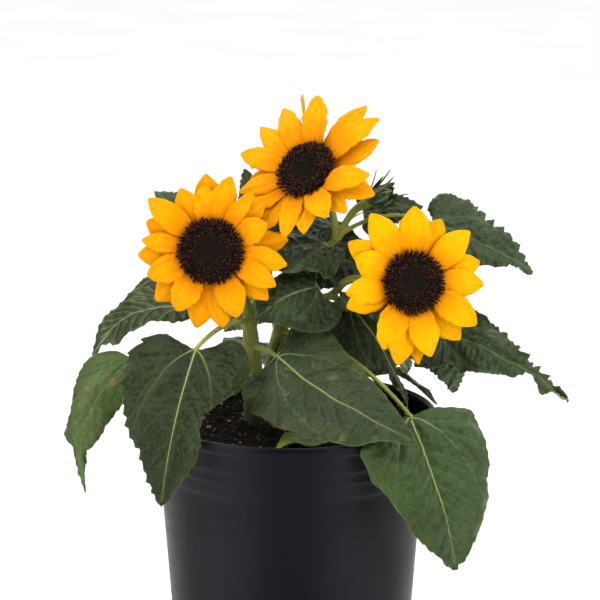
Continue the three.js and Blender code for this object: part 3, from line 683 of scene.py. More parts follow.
def draw_perlite(n):
    """Perlite, expanded by heat: chalky grey-white grains, stained by the peat."""
    stain = n.noise(3.5, 4.0, 0.7)
    n.finish(n.mix(n.soft_span(stain, 0.4, 0.65), "#a2988a", "#463a2f"), n.span(stain, 0.3, 0.7, 0.8, 0.95),
             n.bump(n.noise(0.5), 0.3, 0.6))


def draw_floor(n, colours):
    """Painted board, rolled: an even matt white with hardly any texture."""
    cloud = n.noise(180, 2.0)
    n.finish(n.mix(cloud, colours.floor_hex, "#f4f4f4"), n.span(cloud, 0.3, 0.7, 0.85, 0.95), specular=0.1)


# ---------- leaves ----------
def blade_outline(u, drip):
    """Half the blade's width, as a part of the widest half, at a fraction of its length."""
    body = np.clip(u / (1 - drip), 0, 1)
    rise = np.sqrt(1 - (1 - np.clip(u / 0.16, 0, 1)) ** 2)
    ovate = rise * (1 - body) ** (0.6 if drip else 0.75) / 0.885
    tail = 0.2 * (1 - u) ** 0.5 * rise if drip else 0
    return np.maximum(ovate, tail)


def blade_plan(leaf, u, v, seed, tooth_depth):
    """The blade laid flat: how far across and along it lies, in millimetres."""
    length = leaf.blade[2]
    dice = np.random.default_rng(seed)
    across = leaf.width / 2 * blade_outline(u, leaf.drip) * v
    for sign, shares in zip((-1, 1), leaf.shape):
        share = np.interp(u, np.linspace(0, 1, len(shares)), shares)
        across = across * np.where(np.sign(v) == sign, share, 1)
    spacing = leaf.tooth_gap or max(3.2, length / 15)
    place = u * length * 1.1
    for sign, depth in zip((-1, 1), leaf.teeth):
        start = dice.uniform(0, spacing)
        depths = depth * tooth_depth * dice.uniform(0.15, 1.25, 64)
        count = (place + start) / spacing
        edge = depths[count.astype(int) % 64] * ((count % 1) ** 1.2 - 0.45)
        fade = np.clip(u / 0.06, 0, 1) * np.clip((1 - u) / 0.1, 0, 1) ** 0.7
        across = across + np.where(np.sign(v) == sign, sign * edge * fade * np.abs(v) ** 8, 0)
    reach = u / 0.045
    back = np.where(v < 0, *leaf.lobes) * np.abs(v) ** 1.5 * reach * np.exp(1 - reach)
    return across, length * (u - back)


def blade_veins(leaf):
    """The blade's main ribs and its side veins, laid flat, each a line with its half width along it."""
    length, half = leaf.blade[2], leaf.width / 2
    size = min(1.0, leaf.width / 50) ** 0.5

    def edge(fraction):
        return float(blade_outline(np.array(min(fraction, 0.98)), leaf.drip))

    def line(count, *places):
        """A curve through places given as parts of the half width and of the length."""
        return bezier([(x * half, y * length) for x, y in places], count)

    ribs = [(line(24, (0, 0), (0, 0.5), (0, 0.97)), size * np.linspace(0.5, 0.06, 24))]
    veins = []
    for side in (-1, 1):
        lateral = line(12, (0, 0), (side * 0.5, 0.13), (side * 0.66, 0.56))
        ribs.append((lateral, size * np.linspace(0.28, -0.25, 12)))
        for t, out in ((2, 0.0), (4, 0.06), (6, 0.1), (8, 0.12)):
            x, y = lateral[t] / (half, length)
            far = y + 0.1 + out
            veins.append(line(8, (x, y), (x + side * 0.2, y + 0.03), (side * 0.95 * edge(far), far)))
        veins.append(line(8, (0, 0), (side * 0.4, -0.03), (side * 0.8, 0.06)))
        for k, start in enumerate((0.2, 0.31, 0.42, 0.53, 0.63, 0.73, 0.82)):
            y = start + (0.03 if side > 0 else 0)
            far = y + 0.24 - 0.012 * k
            reach = side * edge(far)
            veins.append(line(10, (0, y), (0.36 * reach, y + 0.09), (0.93 * reach, far)))
    return ribs, [(line, size * np.linspace(0.16, 0.02, len(line))) for line in veins]


def distance_to(points, lines):
    """Of the nearest of the lines to each flat point: how far it is, less than nothing on its right
    side; the same without its side; and half its width there."""
    found = np.full((len(points), 3), 99.0)
    for line, widths in lines:
        for start, end, from_width, to_width in zip(line[:-1], line[1:], widths[:-1], widths[1:]):
            step, away = end - start, points - start
            t = np.clip(away @ step / max(step @ step, 1e-9), 0, 1)
            gap = np.linalg.norm(away - t[:, None] * step, axis=1)
            side = np.where(step[0] * away[:, 1] < step[1] * away[:, 0], -1, 1)
            width = from_width + (to_width - from_width) * t
            closer = gap < found[:, 1]
            found[closer] = np.stack([gap * side, gap, width], -1)[closer]
    return found


def leaf_places(leaf):
    """Where a leaf's stalk starts and ends, and the middle point that bows it."""
    start = PATHS[leaf.on].at(leaf.at)
    foot = start + direction(leaf.stalk) * leaf.stalk[2]
    middle = (start + foot) / 2 + np.array([0, 0, leaf.lift * leaf.stalk[2]])
    return start, middle, foot


def make_leaf(name, leaf, material, sizes, seed):
    length = leaf.blade[2]
    rows = max(44, int(length / BLADE_ROW))
    columns = max(25, int(leaf.width / BLADE_COLUMN)) // 2 * 2 + 1
    q = np.linspace(0.006, 0.99, rows)
    c = np.linspace(-1, 1, columns)
    u, v = np.meshgrid(q * q * (3 - 2 * q), np.sign(c) * np.abs(c) ** 1.25, indexing="ij")
    across, along = blade_plan(leaf, u, v, seed, sizes.tooth_depth / MM)
    chord = direction(leaf.blade)
    side = turned(unit(np.cross(chord, [0, 0, 1.0])), chord, leaf.roll)
    over = np.cross(side, chord)
    t = np.clip(along / length, 0, 1)
    slope = np.radians(leaf.fold) - np.radians(leaf.cup) * np.abs(v)
    plan = np.stack([across, along], -1)
    bow = 4 * t * (1 - t) * length
    size = min(1, leaf.width / 45)
    swell = leaf.wave * sizes.leaf_wave / MM * size
    lift = (bow * leaf.arch + np.abs(across) * np.sin(slope)
            + swell * np.abs(v) ** 2 * ripples(plan, 24, seed) + 0.6 * swell * ripples(plan, 42, seed + 1))
    aside = bow * leaf.bend + across * np.cos(slope)
    foot = leaf_places(leaf)[2]
    middle = foot + along[..., None] * chord + aside[..., None] * side + lift[..., None] * over
    flat = plan.reshape(-1, 2)
    rib, vein = (distance_to(flat, lines) for lines in blade_veins(leaf))
    nearest = np.minimum(rib[:, 1], vein[:, 1])
    cushion = leaf.pucker * size * (
        sizes.cushion_height / MM * (1 - np.exp(-(nearest / 2.6) ** 2)) + 0.22 * ripples(flat, 6.5, seed + 2))
    cushion = cushion + max(0, leaf.pucker - 1) * size * (1 - np.exp(-(rib[:, 1] / 4.5) ** 2))
    slant = flat[:, 1] - 0.5 * np.abs(flat[:, 0])
    rungs = np.abs(np.sin(np.pi * slant / 3.6 + 0.9 * ripples(flat, 18, seed + 3)))
    cushion = cushion + leaf.pleats * (rungs - 0.5) * (1 - np.exp(-(rib[:, 1] / 2) ** 2))
    ridge = np.exp(-(rib[:, 1] / (0.5 + rib[:, 2])) ** 2)
    small_ridge = np.exp(-(vein[:, 1] / 0.7) ** 2)
    half_thick = sizes.leaf_thickness / MM / 2
    above = (cushion + half_thick + 0.15 * ridge).reshape(u.shape)
    below = (cushion - half_thick - 0.6 * size * ridge - 0.3 * size * small_ridge).reshape(u.shape)
    points, faces, cells = sheet(middle, above, below)
    rim = (leaf.width / 2 * blade_outline(u, leaf.drip) * (1 - np.abs(v))).ravel()
    values = {
        "rib": np.tile(rib, (2, 1)), "vein": np.tile(vein, (2, 1)), "rim": np.tile(rim, 2),
        "under": np.repeat([0.0, 1.0], len(flat)),
        "tint": np.tile(leaf_tint(leaf, u.ravel(), v.ravel(), seed), (2, 1)),
        **{key: np.full(len(points), getattr(leaf, key)) for key in ("worn", "pale", "ribs")},
    }
    maps = {"BladeMap": np.tile(flat, (2, 1))[faces] / MAP_SIZE, "OFBake": cells}
    return settle(new_object(name + "_blade", points, faces, [material], values, maps), "leaf", name)


def leaf_tint(leaf, u, v, seed):
    """The blade's own green at each vertex: a little lighter and yellower in broad soft patches."""
    dice = np.random.default_rng(seed)
    green = np.array(linear(leaf.tint)) * dice.uniform(0.9, 1.1)
    share = 0.12 + 0.16 * ripples(np.stack([u, v], -1), 1.1, seed + 5) + leaf.fresh * np.abs(v) ** 3
    share = np.clip(share, 0, 1)[:, None]
    tint = green * (1 - share) + np.array(linear("#3a4c1e")) * share
    tint[:, 3] = 1
    return tint


# ---------- stems ----------
def stem_parts():
    """Every limb and leaf stalk as a bar, with the line down its middle, its girth and its age."""
    bars, lines = [], []
    for name, given in LIMBS.items():
        path = PATHS[name]
        fractions = np.linspace(0, 1, max(12, int(path.length / BAR_STEP)))
        radii = np.interp(fractions * (len(given.radii) - 1), range(len(given.radii)), given.radii)
        places = path.at(fractions)
        if given.on:    # a swelling where it leaves its stem
            radii = radii + 0.9 * np.exp(-fractions * path.length / 4)
        else:    # it comes up out of the soil
            places[0] -= [0, 0, 3]
        bars.append(tube(places, radii, 16))
        lines.append((places, radii, STEM_AGES.get(name, YOUNG)))
    for leaf in LEAVES.values():
        start, middle, foot = leaf_places(leaf)
        length = leaf.stalk[2]
        count = max(10, int(length / BAR_STEP))
        places = bezier((start, middle, foot), count)
        size = min(1.0, leaf.width / 50) ** 0.5 * leaf.girth
        distance = np.linspace(0, length, count)
        radii = size * (1.75 - 0.5 * distance / length + 1.1 * np.exp(-distance / 3.5))
        tip = foot + direction(leaf.blade) * np.array([[1.2], [2.6]]) * size
        tip_radii = size * np.array([1.0, 0.45])
        bars.append(tube(np.concatenate([places, tip]), np.concatenate([radii, tip_radii]), 12))
        lines.append((places, radii, 0.0))
    return bars, lines


def make_stems(materials, sizes):
    bars, lines = stem_parts()
    rough = new_object("stem_bars", *joined(bars))
    remesh = rough.modifiers.new("One Skin", "REMESH")
    remesh.mode, remesh.voxel_size, remesh.use_smooth_shade = "VOXEL", sizes.stem_detail, True
    smooth = rough.modifiers.new("Soft Joints", "SMOOTH")
    smooth.factor, smooth.iterations = 0.5, 7
    stems = plain_copy("stems", rough)
    discard(rough)
    rib_stems(stems.data, lines)
    stems.data.materials.append(materials[0])
    settle(stems, "stem", *LIMBS)
    hair = solid_shape("stem_hair", *tetra(0.09, 1.0))
    hairs = from_tree("stem_hairs", stems, scatter_tree(), {
        "Density": sizes.hair_density, "Seed": 5, "Smallest": sizes.hair_length * 500,
        "Largest": sizes.hair_length * 1300, "Tumble": 0.35, "Shape": hair, "Finish": materials[1]})
    discard(hair)
    settle(hairs, "stem")


def rib_stems(mesh, lines):
    """Raises fine ribs along the stems and notes how far round and along each vertex lies."""
    tree = kdtree.KDTree(sum(len(places) for places, _, _ in lines))
    about, count = [], 0
    for places, radii, age in lines:
        forward = unit(np.gradient(places, axis=0))
        side = unit(np.cross(forward, [0.3, 0.2, 0.9]))
        distance = np.concatenate([[0], np.cumsum(np.linalg.norm(np.diff(places, axis=0), axis=1))])
        for i, place in enumerate(places):
            tree.insert(Vector(place * MM), count + i)
        about.append(np.column_stack([places, forward, side, radii, np.full(len(places), age), distance]))
        count += len(places)
    tree.balance()
    points = read_points(mesh)
    near = np.concatenate(about)[[tree.find(point)[1] for point in points]]
    centre, forward, side = near[:, :3], near[:, 3:6], near[:, 6:9]
    radius, age, distance = near[:, 9:].T
    away = points / MM - centre
    away -= forward * (away * forward).sum(1, keepdims=True)
    angle = np.arctan2((np.cross(forward, side) * away).sum(1), (side * away).sum(1))
    ridges = np.round(radius * 2 * math.pi / 1.7)
    depth = np.where(radius > 3, 0.16, 0.1) * np.cos(angle * ridges)
    write_points(mesh, points + (unit(away) * depth[:, None] * MM).astype(np.float32))
    note(mesh, "grain", ring(radius, angle, distance * 0.06))
    note(mesh, "age", age)
    mesh.update()


# ---------- small shapes and what scatters them ----------
def solid_shape(name, points, faces):
    """A small shape for a geometry node tree to repeat, noting how near its top each place is."""
    heights = np.asarray(points)[:, 2]
    top = (heights - heights.min()) / np.ptp(heights)
    return new_object(name, points, faces, values={"top": top}, smooth=False)


def tetra(width, height):
    corners = [(width * math.cos(a), width * math.sin(a), 0) for a in np.radians([0, 120, 240])]
    return np.array(corners + [(0, 0, height)]), [[0, 2, 1], [0, 1, 3], [1, 2, 3], [2, 0, 3]]


def crumb(seed):
    """An uneven lump one millimetre across."""
    dice = np.random.default_rng(seed)
    sides, rings = 6, []
    for radius, height in ((0.3, -0.4), (0.5, -0.05), (0.34, 0.36)):
        angles = round_angles(sides) + dice.uniform(-0.25, 0.25, sides)
        radii = radius * dice.uniform(0.7, 1.3, sides)
        rings.append(ring(radii, angles, height + dice.uniform(-0.1, 0.1, sides)))
    return np.concatenate(rings + [np.array([[0, 0, -0.48], [0, 0, 0.46]])]), ring_faces(len(rings), sides)


def closed_floret():
    """A disc floret still in bud: a narrow blunt dome."""
    return lathe(((0, -1.2), (0.4, -1.1), (0.56, 0.3), (0.44, 0.95), (0.15, 1.3), (0, 1.35)), 6)


def open_floret():
    """A disc floret open at its top: a tube with five long points round the style that stands out of it."""
    sides, rings = 10, []
    point = np.arange(sides) % 2 == 0
    for inner, outer, low, high in (
            (0.38, 0.38, -1.4, -1.4), (0.5, 0.5, 0.7, 0.7), (0.44, 0.82, 1.2, 1.9), (0.26, 0.26, 1.1, 1.1)):
        rings.append(ring(np.where(point, outer, inner), round_angles(sides), np.where(point, high, low)))
    return np.concatenate(rings + [np.array([[0, 0, -1.5], [0.2, 0.1, 2.3]])]), ring_faces(len(rings), sides)


def new_tree(name, **inputs):
    """The nodes of a new geometry node tree, and the outputs that give its named inputs."""
    tree = bpy.data.node_groups.new(name, "GeometryNodeTree")
    for key, kind in {"Geometry": "Geometry", **inputs, "Finish": "Material"}.items():
        tree.interface.new_socket(name=key, in_out="INPUT", socket_type="NodeSocket" + kind)
    tree.interface.new_socket(name="Geometry", in_out="OUTPUT", socket_type="NodeSocketGeometry")
    return Nodes(tree), tree.nodes.new("NodeGroupInput").outputs


def dice_node(n, low, high, seed):
    """A random number for each place, or a random vector between two vectors."""
    if isinstance(low, tuple):
        return n.add("FunctionNodeRandomValue", {0: low, 1: high, "Seed": seed},
                     data_type="FLOAT_VECTOR").outputs[0]
    return n.add("FunctionNodeRandomValue", {2: low, 3: high, "Seed": seed}, data_type="FLOAT").outputs[1]


def end_tree(n, finish, placed):
    """Puts a shape at every point, by the inputs of the node that does it, as plain faces with a finish."""
    copies = n.add("GeometryNodeInstanceOnPoints", placed)
    whole = n.add("GeometryNodeRealizeInstances", {"Geometry": copies.outputs[0]})
    dressed = n.add("GeometryNodeSetMaterial", {"Geometry": whole.outputs[0], "Material": finish})
    n.add("NodeGroupOutput", {0: dressed.outputs[0]})
    return n.tree


def scatter_tree():
    """Strews a shape over a surface, standing on it and tumbled by up to so many radians."""
    n, given = new_tree("Scatter", Density="Float", Seed="Int", Smallest="Float", Largest="Float",
                        Tumble="Float", Shape="Object")
    strewn = n.add("GeometryNodeDistributePointsOnFaces", {
        "Mesh": given["Geometry"], "Density": given["Density"], "Seed": given["Seed"]}).outputs
    size = dice_node(n, given["Smallest"], given["Largest"], given["Seed"])
    lean = n.add("ShaderNodeVectorMath", {
        0: dice_node(n, (-1, -1, -3), (1, 1, 3), 7), "Scale": given["Tumble"]}, operation="SCALE")
    turn = n.add("FunctionNodeRotateRotation", {
        0: strewn["Rotation"], 1: n.add("FunctionNodeEulerToRotation", {0: lean.outputs[0]}).outputs[0],
    }, rotation_space="LOCAL")
    shape = n.add("GeometryNodeObjectInfo", {"Object": given["Shape"]}).outputs["Geometry"]
    return end_tree(n, given["Finish"], {
        "Points": strewn["Points"], "Instance": shape, "Rotation": turn.outputs[0], "Scale": size})


def floret_tree():
    """Packs florets in a sunflower spiral over a low dome: closed ones inside, open ones outside, the
    outermost leaning out over the petals."""
    n, given = new_tree("Florets", Count="Int", Radius="Float", Rise="Float", Bud="Object", Open="Object")
    points = n.add("GeometryNodePoints", {"Count": given["Count"]}).outputs[0]
    index = n.add("GeometryNodeInputIndex").outputs[0]
    share = n.maths("SQRT", n.maths("DIVIDE", n.plus(index, 0.5), given["Count"]))
    angle = n.times(index, GOLDEN_ANGLE)
    cosine, sine = n.maths("COSINE", angle), n.maths("SINE", angle)
    radius = n.times(share, given["Radius"])

    def powered(power, factor):
        return n.times(n.maths("POWER", share, power), factor)

    height = n.plus(3.4, n.maths("SUBTRACT", powered(2.0, 2.4), powered(7.0, 4.4)))
    place = n.vector(n.times(radius, cosine), n.times(radius, sine), n.times(height, given["Rise"]))
    points = n.add("GeometryNodeSetPosition", {"Geometry": points, "Position": place}).outputs[0]
    for key, value in (("ripeness", share), ("tone", dice_node(n, 0.0, 1.0, 9))):
        points = n.add("GeometryNodeStoreNamedAttribute", {
            "Geometry": points, "Name": key, "Value": value}, data_type="FLOAT", domain="POINT").outputs[0]
    splay = n.plus(0.12, powered(10.0, 1.5))
    way = n.add("ShaderNodeVectorMath", {
        0: n.vector(n.times(splay, cosine), n.times(splay, sine), 1.0),
        1: dice_node(n, (-0.3, -0.3, 0), (0.3, 0.3, 0), 3)}, operation="ADD")
    turn = n.add("FunctionNodeAlignRotationToVector", {"Vector": way.outputs[0]}, axis="Z").outputs[0]
    size = n.times(dice_node(n, 0.75, 1.3, 4), n.plus(0.7, n.times(share, 0.4)))
    shapes = n.add("GeometryNodeJoinGeometry")
    for key in ("Open", "Bud"):
        shape = n.add("GeometryNodeObjectInfo", {"Object": given[key], "As Instance": True})
        n.tree.links.new(shape.outputs["Geometry"], shapes.inputs[0])
    return end_tree(n, given["Finish"], {
        "Points": points, "Instance": shapes.outputs[0], "Rotation": turn, "Scale": size,
        "Pick Instance": True, "Instance Index": n.maths("GREATER_THAN", share, 0.6)})


# ---------- blooms ----------
def head_axes(facing):
    front = direction(facing)
    right = unit(np.cross([0, 0, 1.0], front))
    return np.stack([right, np.cross(front, right), front])


def head_place(head, depth):
    return PATHS[head.on].at(1.0) + direction(head.facing) * depth


def sheet_grid(rows, columns):
    """How far along and across each point of a petal or bract is, short of a tip with no width."""
    return np.meshgrid(np.linspace(0, 0.985, rows), np.linspace(-1, 1, columns), indexing="ij")


# Of the petals in front and of those behind: their slope at the foot and at the tip, height and fullness.
PETAL_ROWS = ((24, -14, -0.2, 0.56), (9, -4, -2.0, 0.66))


def petal_sheet(petal, disc, seed, cell):
    """One petal in its head's own axes: its points, faces, map cells and its places along and across."""
    angle, reach, width, row, lean, stand = (*petal, 0)[:6]
    foot_slope, tip_slope, height, fullness = PETAL_ROWS[row]
    dice = np.random.default_rng(seed)
    s, t = sheet_grid(30, 15)
    foot = disc * 0.8
    radius = foot + (reach - foot) * s[:, 0]
    bearing = np.radians(angle - lean + lean * s[:, 0] ** 0.8)
    first = np.radians(foot_slope + dice.uniform(-5, 5) + stand)
    last = np.radians(tip_slope + dice.uniform(-9, 9) - stand * 0.5)
    slopes = np.tan(first + (last - first) * s[:, 0] ** 0.7)
    steps = np.diff(radius, prepend=radius[0])
    line = ring(radius, bearing, height + np.cumsum(slopes * steps))
    ahead = unit(np.gradient(line, axis=0))
    aside = unit(np.cross(ahead, [0, 0, 1.0]))
    over = np.cross(aside, ahead)
    is_twisted = width < 6
    turn = np.radians((150 if is_twisted else dice.uniform(-16, 16)) * s ** 1.5)
    half = width * fullness * ((s + 0.03) ** 0.4 * (1 - s ** 2.4) ** 0.92 / 0.645)
    wide = half * t
    cup = dice.uniform(-0.2, 0.08) * (1 + s)
    pleat = 0.32 * np.cos(2.6 * math.pi * t) * np.sin(math.pi * s) ** 0.6
    curl = (cup * np.abs(t) ** 2 * half + pleat
            + 0.45 * np.abs(t) ** 3 * ripples(np.stack([s * 3, t], -1), 1.3, seed + 3))
    edge = 0.35 * np.abs(t) ** 6 * ripples(np.stack([s * 8, t], -1), 1.5, seed + 4)
    wide = wide + np.sign(t) * edge * np.sin(math.pi * s)
    move_aside = wide * np.cos(turn) - curl * np.sin(turn)
    move_over = wide * np.sin(turn) + curl * np.cos(turn)
    middle = line[:, None] + move_aside[..., None] * aside[:, None] + move_over[..., None] * over[:, None]
    points, faces, cells = sheet(middle, np.full(s.shape, 0.15), np.full(s.shape, -0.15), cell)
    flat = np.stack([t.ravel() / 2 + 0.5, s.ravel()], -1)
    return points, faces, cells, np.concatenate([flat, flat])[faces]


def make_petals(name, bloom, material, axes, place, seed):
    points, faces, cells, flats, warmth, under, count = [], [], [], [], [], [], 0
    across = math.ceil(math.sqrt(len(bloom.petals)))
    dice = np.random.default_rng(seed)
    for i, petal in enumerate(bloom.petals):
        cell = (i % across / across, i // across / across, 1 / across)
        p, f, m, flat = petal_sheet(petal, bloom.disc, seed * 50 + i, cell)
        points.append(p @ axes + place)
        faces.append(f + count)
        cells.append(m)
        flats.append(flat)
        # painted shade for the row behind, plus a random tone for each petal
        warmth.append(np.full(len(p), np.clip(0.22 * petal[3] + dice.uniform(0, 0.22), 0, 1)))
        under.append(np.repeat([0.0, 1.0], len(p) // 2))
        count += len(p)
    points, faces, cells, flats, warmth, under = map(
        np.concatenate, (points, faces, cells, flats, warmth, under))
    petals = new_object(name + "_petals", points, faces, [material], {"warmth": warmth, "under": under},
                        {"PetalMap": flats, "OFBake": cells})
    settle(petals, "bloom", name)


def make_florets(name, bloom, material, axes, place, sizes):
    disc = bloom.disc
    bed = [(0, -2.0), (disc * 0.7, -2.0), (disc * 0.93, -0.4), (disc * 0.93, 0.6)]
    bed += [(disc * r, 3.0 + 2.4 * r ** 2 - 4.4 * r ** 7) for r in (0.8, 0.6, 0.4, 0.2)] + [(0, 3.0)]
    source = new_object(name + "_bed", *lathe(bed, 48), [material])
    bud, opened = solid_shape("floret_bud", *closed_floret()), solid_shape("floret_open", *open_floret())
    florets = from_tree(name + "_florets", source, floret_tree(), {
        "Count": int((disc * MM / sizes.floret_spacing) ** 2), "Radius": disc * 0.985 * MM, "Rise": MM,
        "Bud": bud, "Open": opened, "Finish": material})
    discard(bud, opened)
    for key, value in (("ripeness", 0.3), ("tone", 0.0), ("top", 0.0)):
        note(source.data, key, np.full(len(source.data.vertices), value))
    with bpy.context.temp_override(
            active_object=florets, selected_editable_objects=[florets, source], object=florets):
        bpy.ops.object.join()
    write_points(florets.data, read_points(florets.data) @ axes + place * MM)
    florets.data.shade_smooth()
    settle(florets, "bloom")


def bract_sheet(base_radius, angle, height, length, width, tilt, curl, seed):
    """One pointed bract in its head's own axes, standing off the head's back: its points, faces and the
    places of both its sides laid flat."""
    dice = np.random.default_rng(seed)
    rows, columns = 12, 7
    s, t = sheet_grid(rows, columns)
    bearing = math.radians(angle)
    out = np.array([math.cos(bearing), math.sin(bearing), 0.0])
    aside = np.array([math.sin(bearing), -math.cos(bearing), 0.0])
    slopes = np.radians(tilt + (curl + dice.uniform(-8, 8)) * s[:, 0])
    step = length / rows
    far = base_radius + np.cumsum(np.cos(slopes)) * step
    rise = height + np.cumsum(np.sin(slopes)) * step
    line = far[:, None] * out + rise[:, None] * np.array([0, 0, 1.0])
    half = width / 2 * (1 - s) ** 0.8 * (s + 0.35) ** 0.35 * 1.25
    over = np.cross(aside, unit(np.gradient(line, axis=0)))
    middle = (line[:, None] + (half * t)[..., None] * aside
              + (0.18 * half * (1 - t ** 2))[..., None] * -over[:, None])
    points, faces, _ = sheet(middle, np.full(s.shape, 0.2), np.full(s.shape, -0.2))
    flat = np.stack([(half * t).ravel(), (length * s).ravel()], -1)
    return points, faces.tolist(), np.concatenate([flat, flat])


def make_green_parts(name, core, rows, material, axes, place, slot, seed, *nodes):
    """A head's green back: a turned core and rows of bracts, each (count, radius, height, length, width,
    tilt, curl)."""
    points, faces = lathe(core, 40)
    faces.sort(key=len, reverse=True)
    plan, rib, under = [points[:, :2]], [np.full(len(points), 9.0)], [np.full(len(points), 0.5)]
    parts = [(points, faces)]
    dice = np.random.default_rng(seed)
    for count, radius, height, length, width, tilt, curl in rows:
        start = dice.uniform(0, 360)
        for i in range(count):
            points, faces, flat = bract_sheet(
                radius, start + i * 360 / count + dice.uniform(-5, 5), height,
                length * dice.uniform(0.85, 1.12), width, tilt + dice.uniform(-6, 6), curl, seed * 100 + i)
            parts.append((points, faces))
            plan.append(flat)
            rib.append(np.abs(flat[:, 0]))
            under.append(np.repeat([0.0, 0.3], len(points) // 2))
    points, faces = joined(parts)
    plan, rib, count = np.concatenate(plan), np.concatenate(rib), len(points)
    tone, rib_share = ("#2a361b", 0.25) if slot == "bud" else ("#4a5c30", 1.0)
    values = {
        "rib": np.stack([rib, rib, np.full(count, 0.2)], -1), "vein": np.tile([9.0, 9.0, 0.1], (count, 1)),
        "ribs": np.full(count, rib_share), "rim": np.full(count, 9.0), "under": np.concatenate(under),
        "worn": np.zeros(count), "tint": np.tile(linear(tone), (count, 1)),
    }
    maps = {"BladeMap": np.concatenate([plan[face] for face in faces]) / MAP_SIZE}
    settle(new_object(name + "_bracts", points @ axes + place, faces, [material], values, maps), slot, *nodes)


def make_bloom(name, bloom, materials, sizes, seed):
    axes, place = head_axes(bloom.facing), head_place(bloom, HEAD_DEPTH + FIT)
    disc = bloom.disc
    make_petals(name, bloom, materials["petal"], axes, place, seed)
    make_florets(name, bloom, materials["floret"], axes, place, sizes)
    core = ((0, -13.6), (2.6, -13.6), (3.4, -12.4), (disc * 0.42, -10.8), (disc * 0.72, -8.2),
            (disc * 0.9, -4.6), (disc * 0.9, -2.2), (disc * 0.6, -1.8), (0, -1.8))
    rows = ((13, disc * 0.84, -5.0, 15, 7, -12, 6), (13, disc * 0.72, -7.6, 15, 7.5, -8, 6),
            (11, disc * 0.5, -10.2, 13, 6.5, -6, 8))
    make_green_parts(name, core, rows, materials["leaf"], axes, place, "bloom", seed + 40)


def make_bud(name, bud, material, seed):
    axes, place = head_axes(bud.facing), head_place(bud, FIT)
    radius, length = bud.radius, bud.length
    core = ((0, -1.2), (2.8, -1.0), (radius * 0.8, length * 0.18), (radius, length * 0.45),
            (radius * 0.8, length * 0.72), (radius * 0.35, length * 0.95), (0, length))
    rows = ((5, radius * 0.6, length * 0.1, 13, 7.6, 62, 8),
            (6, radius * 0.8, length * 0.25, 11.5, 7.2, 84, 16),
            (6, radius * 0.62, length * 0.5, 9, 5, 100, 30), (5, radius * 0.7, length * 0.1, 17, 1.9, 52, -6),
            (4, radius * 0.8, length * 0.25, 19, 1.8, 72, -12))
    make_green_parts(name, core, rows, material, axes, place, "bud", seed, name)


# ---------- pot and soil ----------
def radius_and_top(node):
    low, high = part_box(node)
    return (high.x - low.x) / 2 / MM, high.z / MM


def pot_profile():
    """The pot's outline from the middle of its foot, over the rim and down inside, and its foot's radius."""
    rim, height = radius_and_top("nursery_pot")
    base, shoulder, collar = rim - 18, height - 32, rim - 2
    from_base = ((-5, 0), (-1.2, 0), (0, 1.2), (1.1, 9), (1.4, 9.6))
    from_shoulder = (
        (-7.2, -2.2), (-6.9, -0.8), (-6.1, 0.6), (-5.9, 1.6), (-4.7, 8.4), (-4.4, 8.8), (-4.4, 9.6),
        (-3.6, 15.4), (-3.2, 15.8), (-3.2, 16.8))
    from_rim = (
        (-0.5, -5.6), (0, -5.0), (0, -1.5), (-0.3, -0.6), (-0.9, -0.1), (-1.6, 0), (-2.6, -0.1), (-3.2, -0.7),
        (-3.5, -2))
    return [
        (0, 0.4), (base - 6, 0.4), *((base + x, z) for x, z in from_base),
        *((rim + x, shoulder + z) for x, z in from_shoulder),
        (collar - 0.3, height - 7.4), (collar - 0.1, height - 6.2),
        *((rim + x, height + z) for x, z in from_rim),
        (collar - 1.9, height - 8), (rim - 8.3, shoulder), (base - 1.6, 2.6), (base - 3, 2.2), (0, 2.2),
    ], base


def fine_profile(points, step=3.0):
    """The same outline with a point at least every so many millimetres."""
    fine = [points[0]]
    for start, end in zip(points[:-1], points[1:]):
        count = max(1, math.ceil(math.dist(start, end) / step))
        fine += [tuple(np.array(start) + (np.array(end) - start) * k / count) for k in range(1, count + 1)]
    return fine


def make_pot(material, holes=8, hole_radius=5.6):
    profile, base = pot_profile()
    pot = new_object("nursery_pot_shell", *lathe(fine_profile(profile), 144))
    cutters = []
    for i in range(holes):
        away = direction(((i + 0.5) * 360 / holes, 0))
        cutters.append(tube([away * (base + reach) + [0, 0, 5] for reach in (-12, 12)], hole_radius, 20))
    cutter = new_object("drain_holes", *joined(cutters))
    cut = pot.modifiers.new("Drain Holes", "BOOLEAN")
    cut.operation, cut.object, cut.solver = "DIFFERENCE", cutter, "EXACT"
    shell = plain_copy("pot_shell", pot)
    discard(pot, cutter)
    shell.data.materials.clear()
    shell.data.materials.append(material)
    settle(shell, "pot", "nursery_pot")


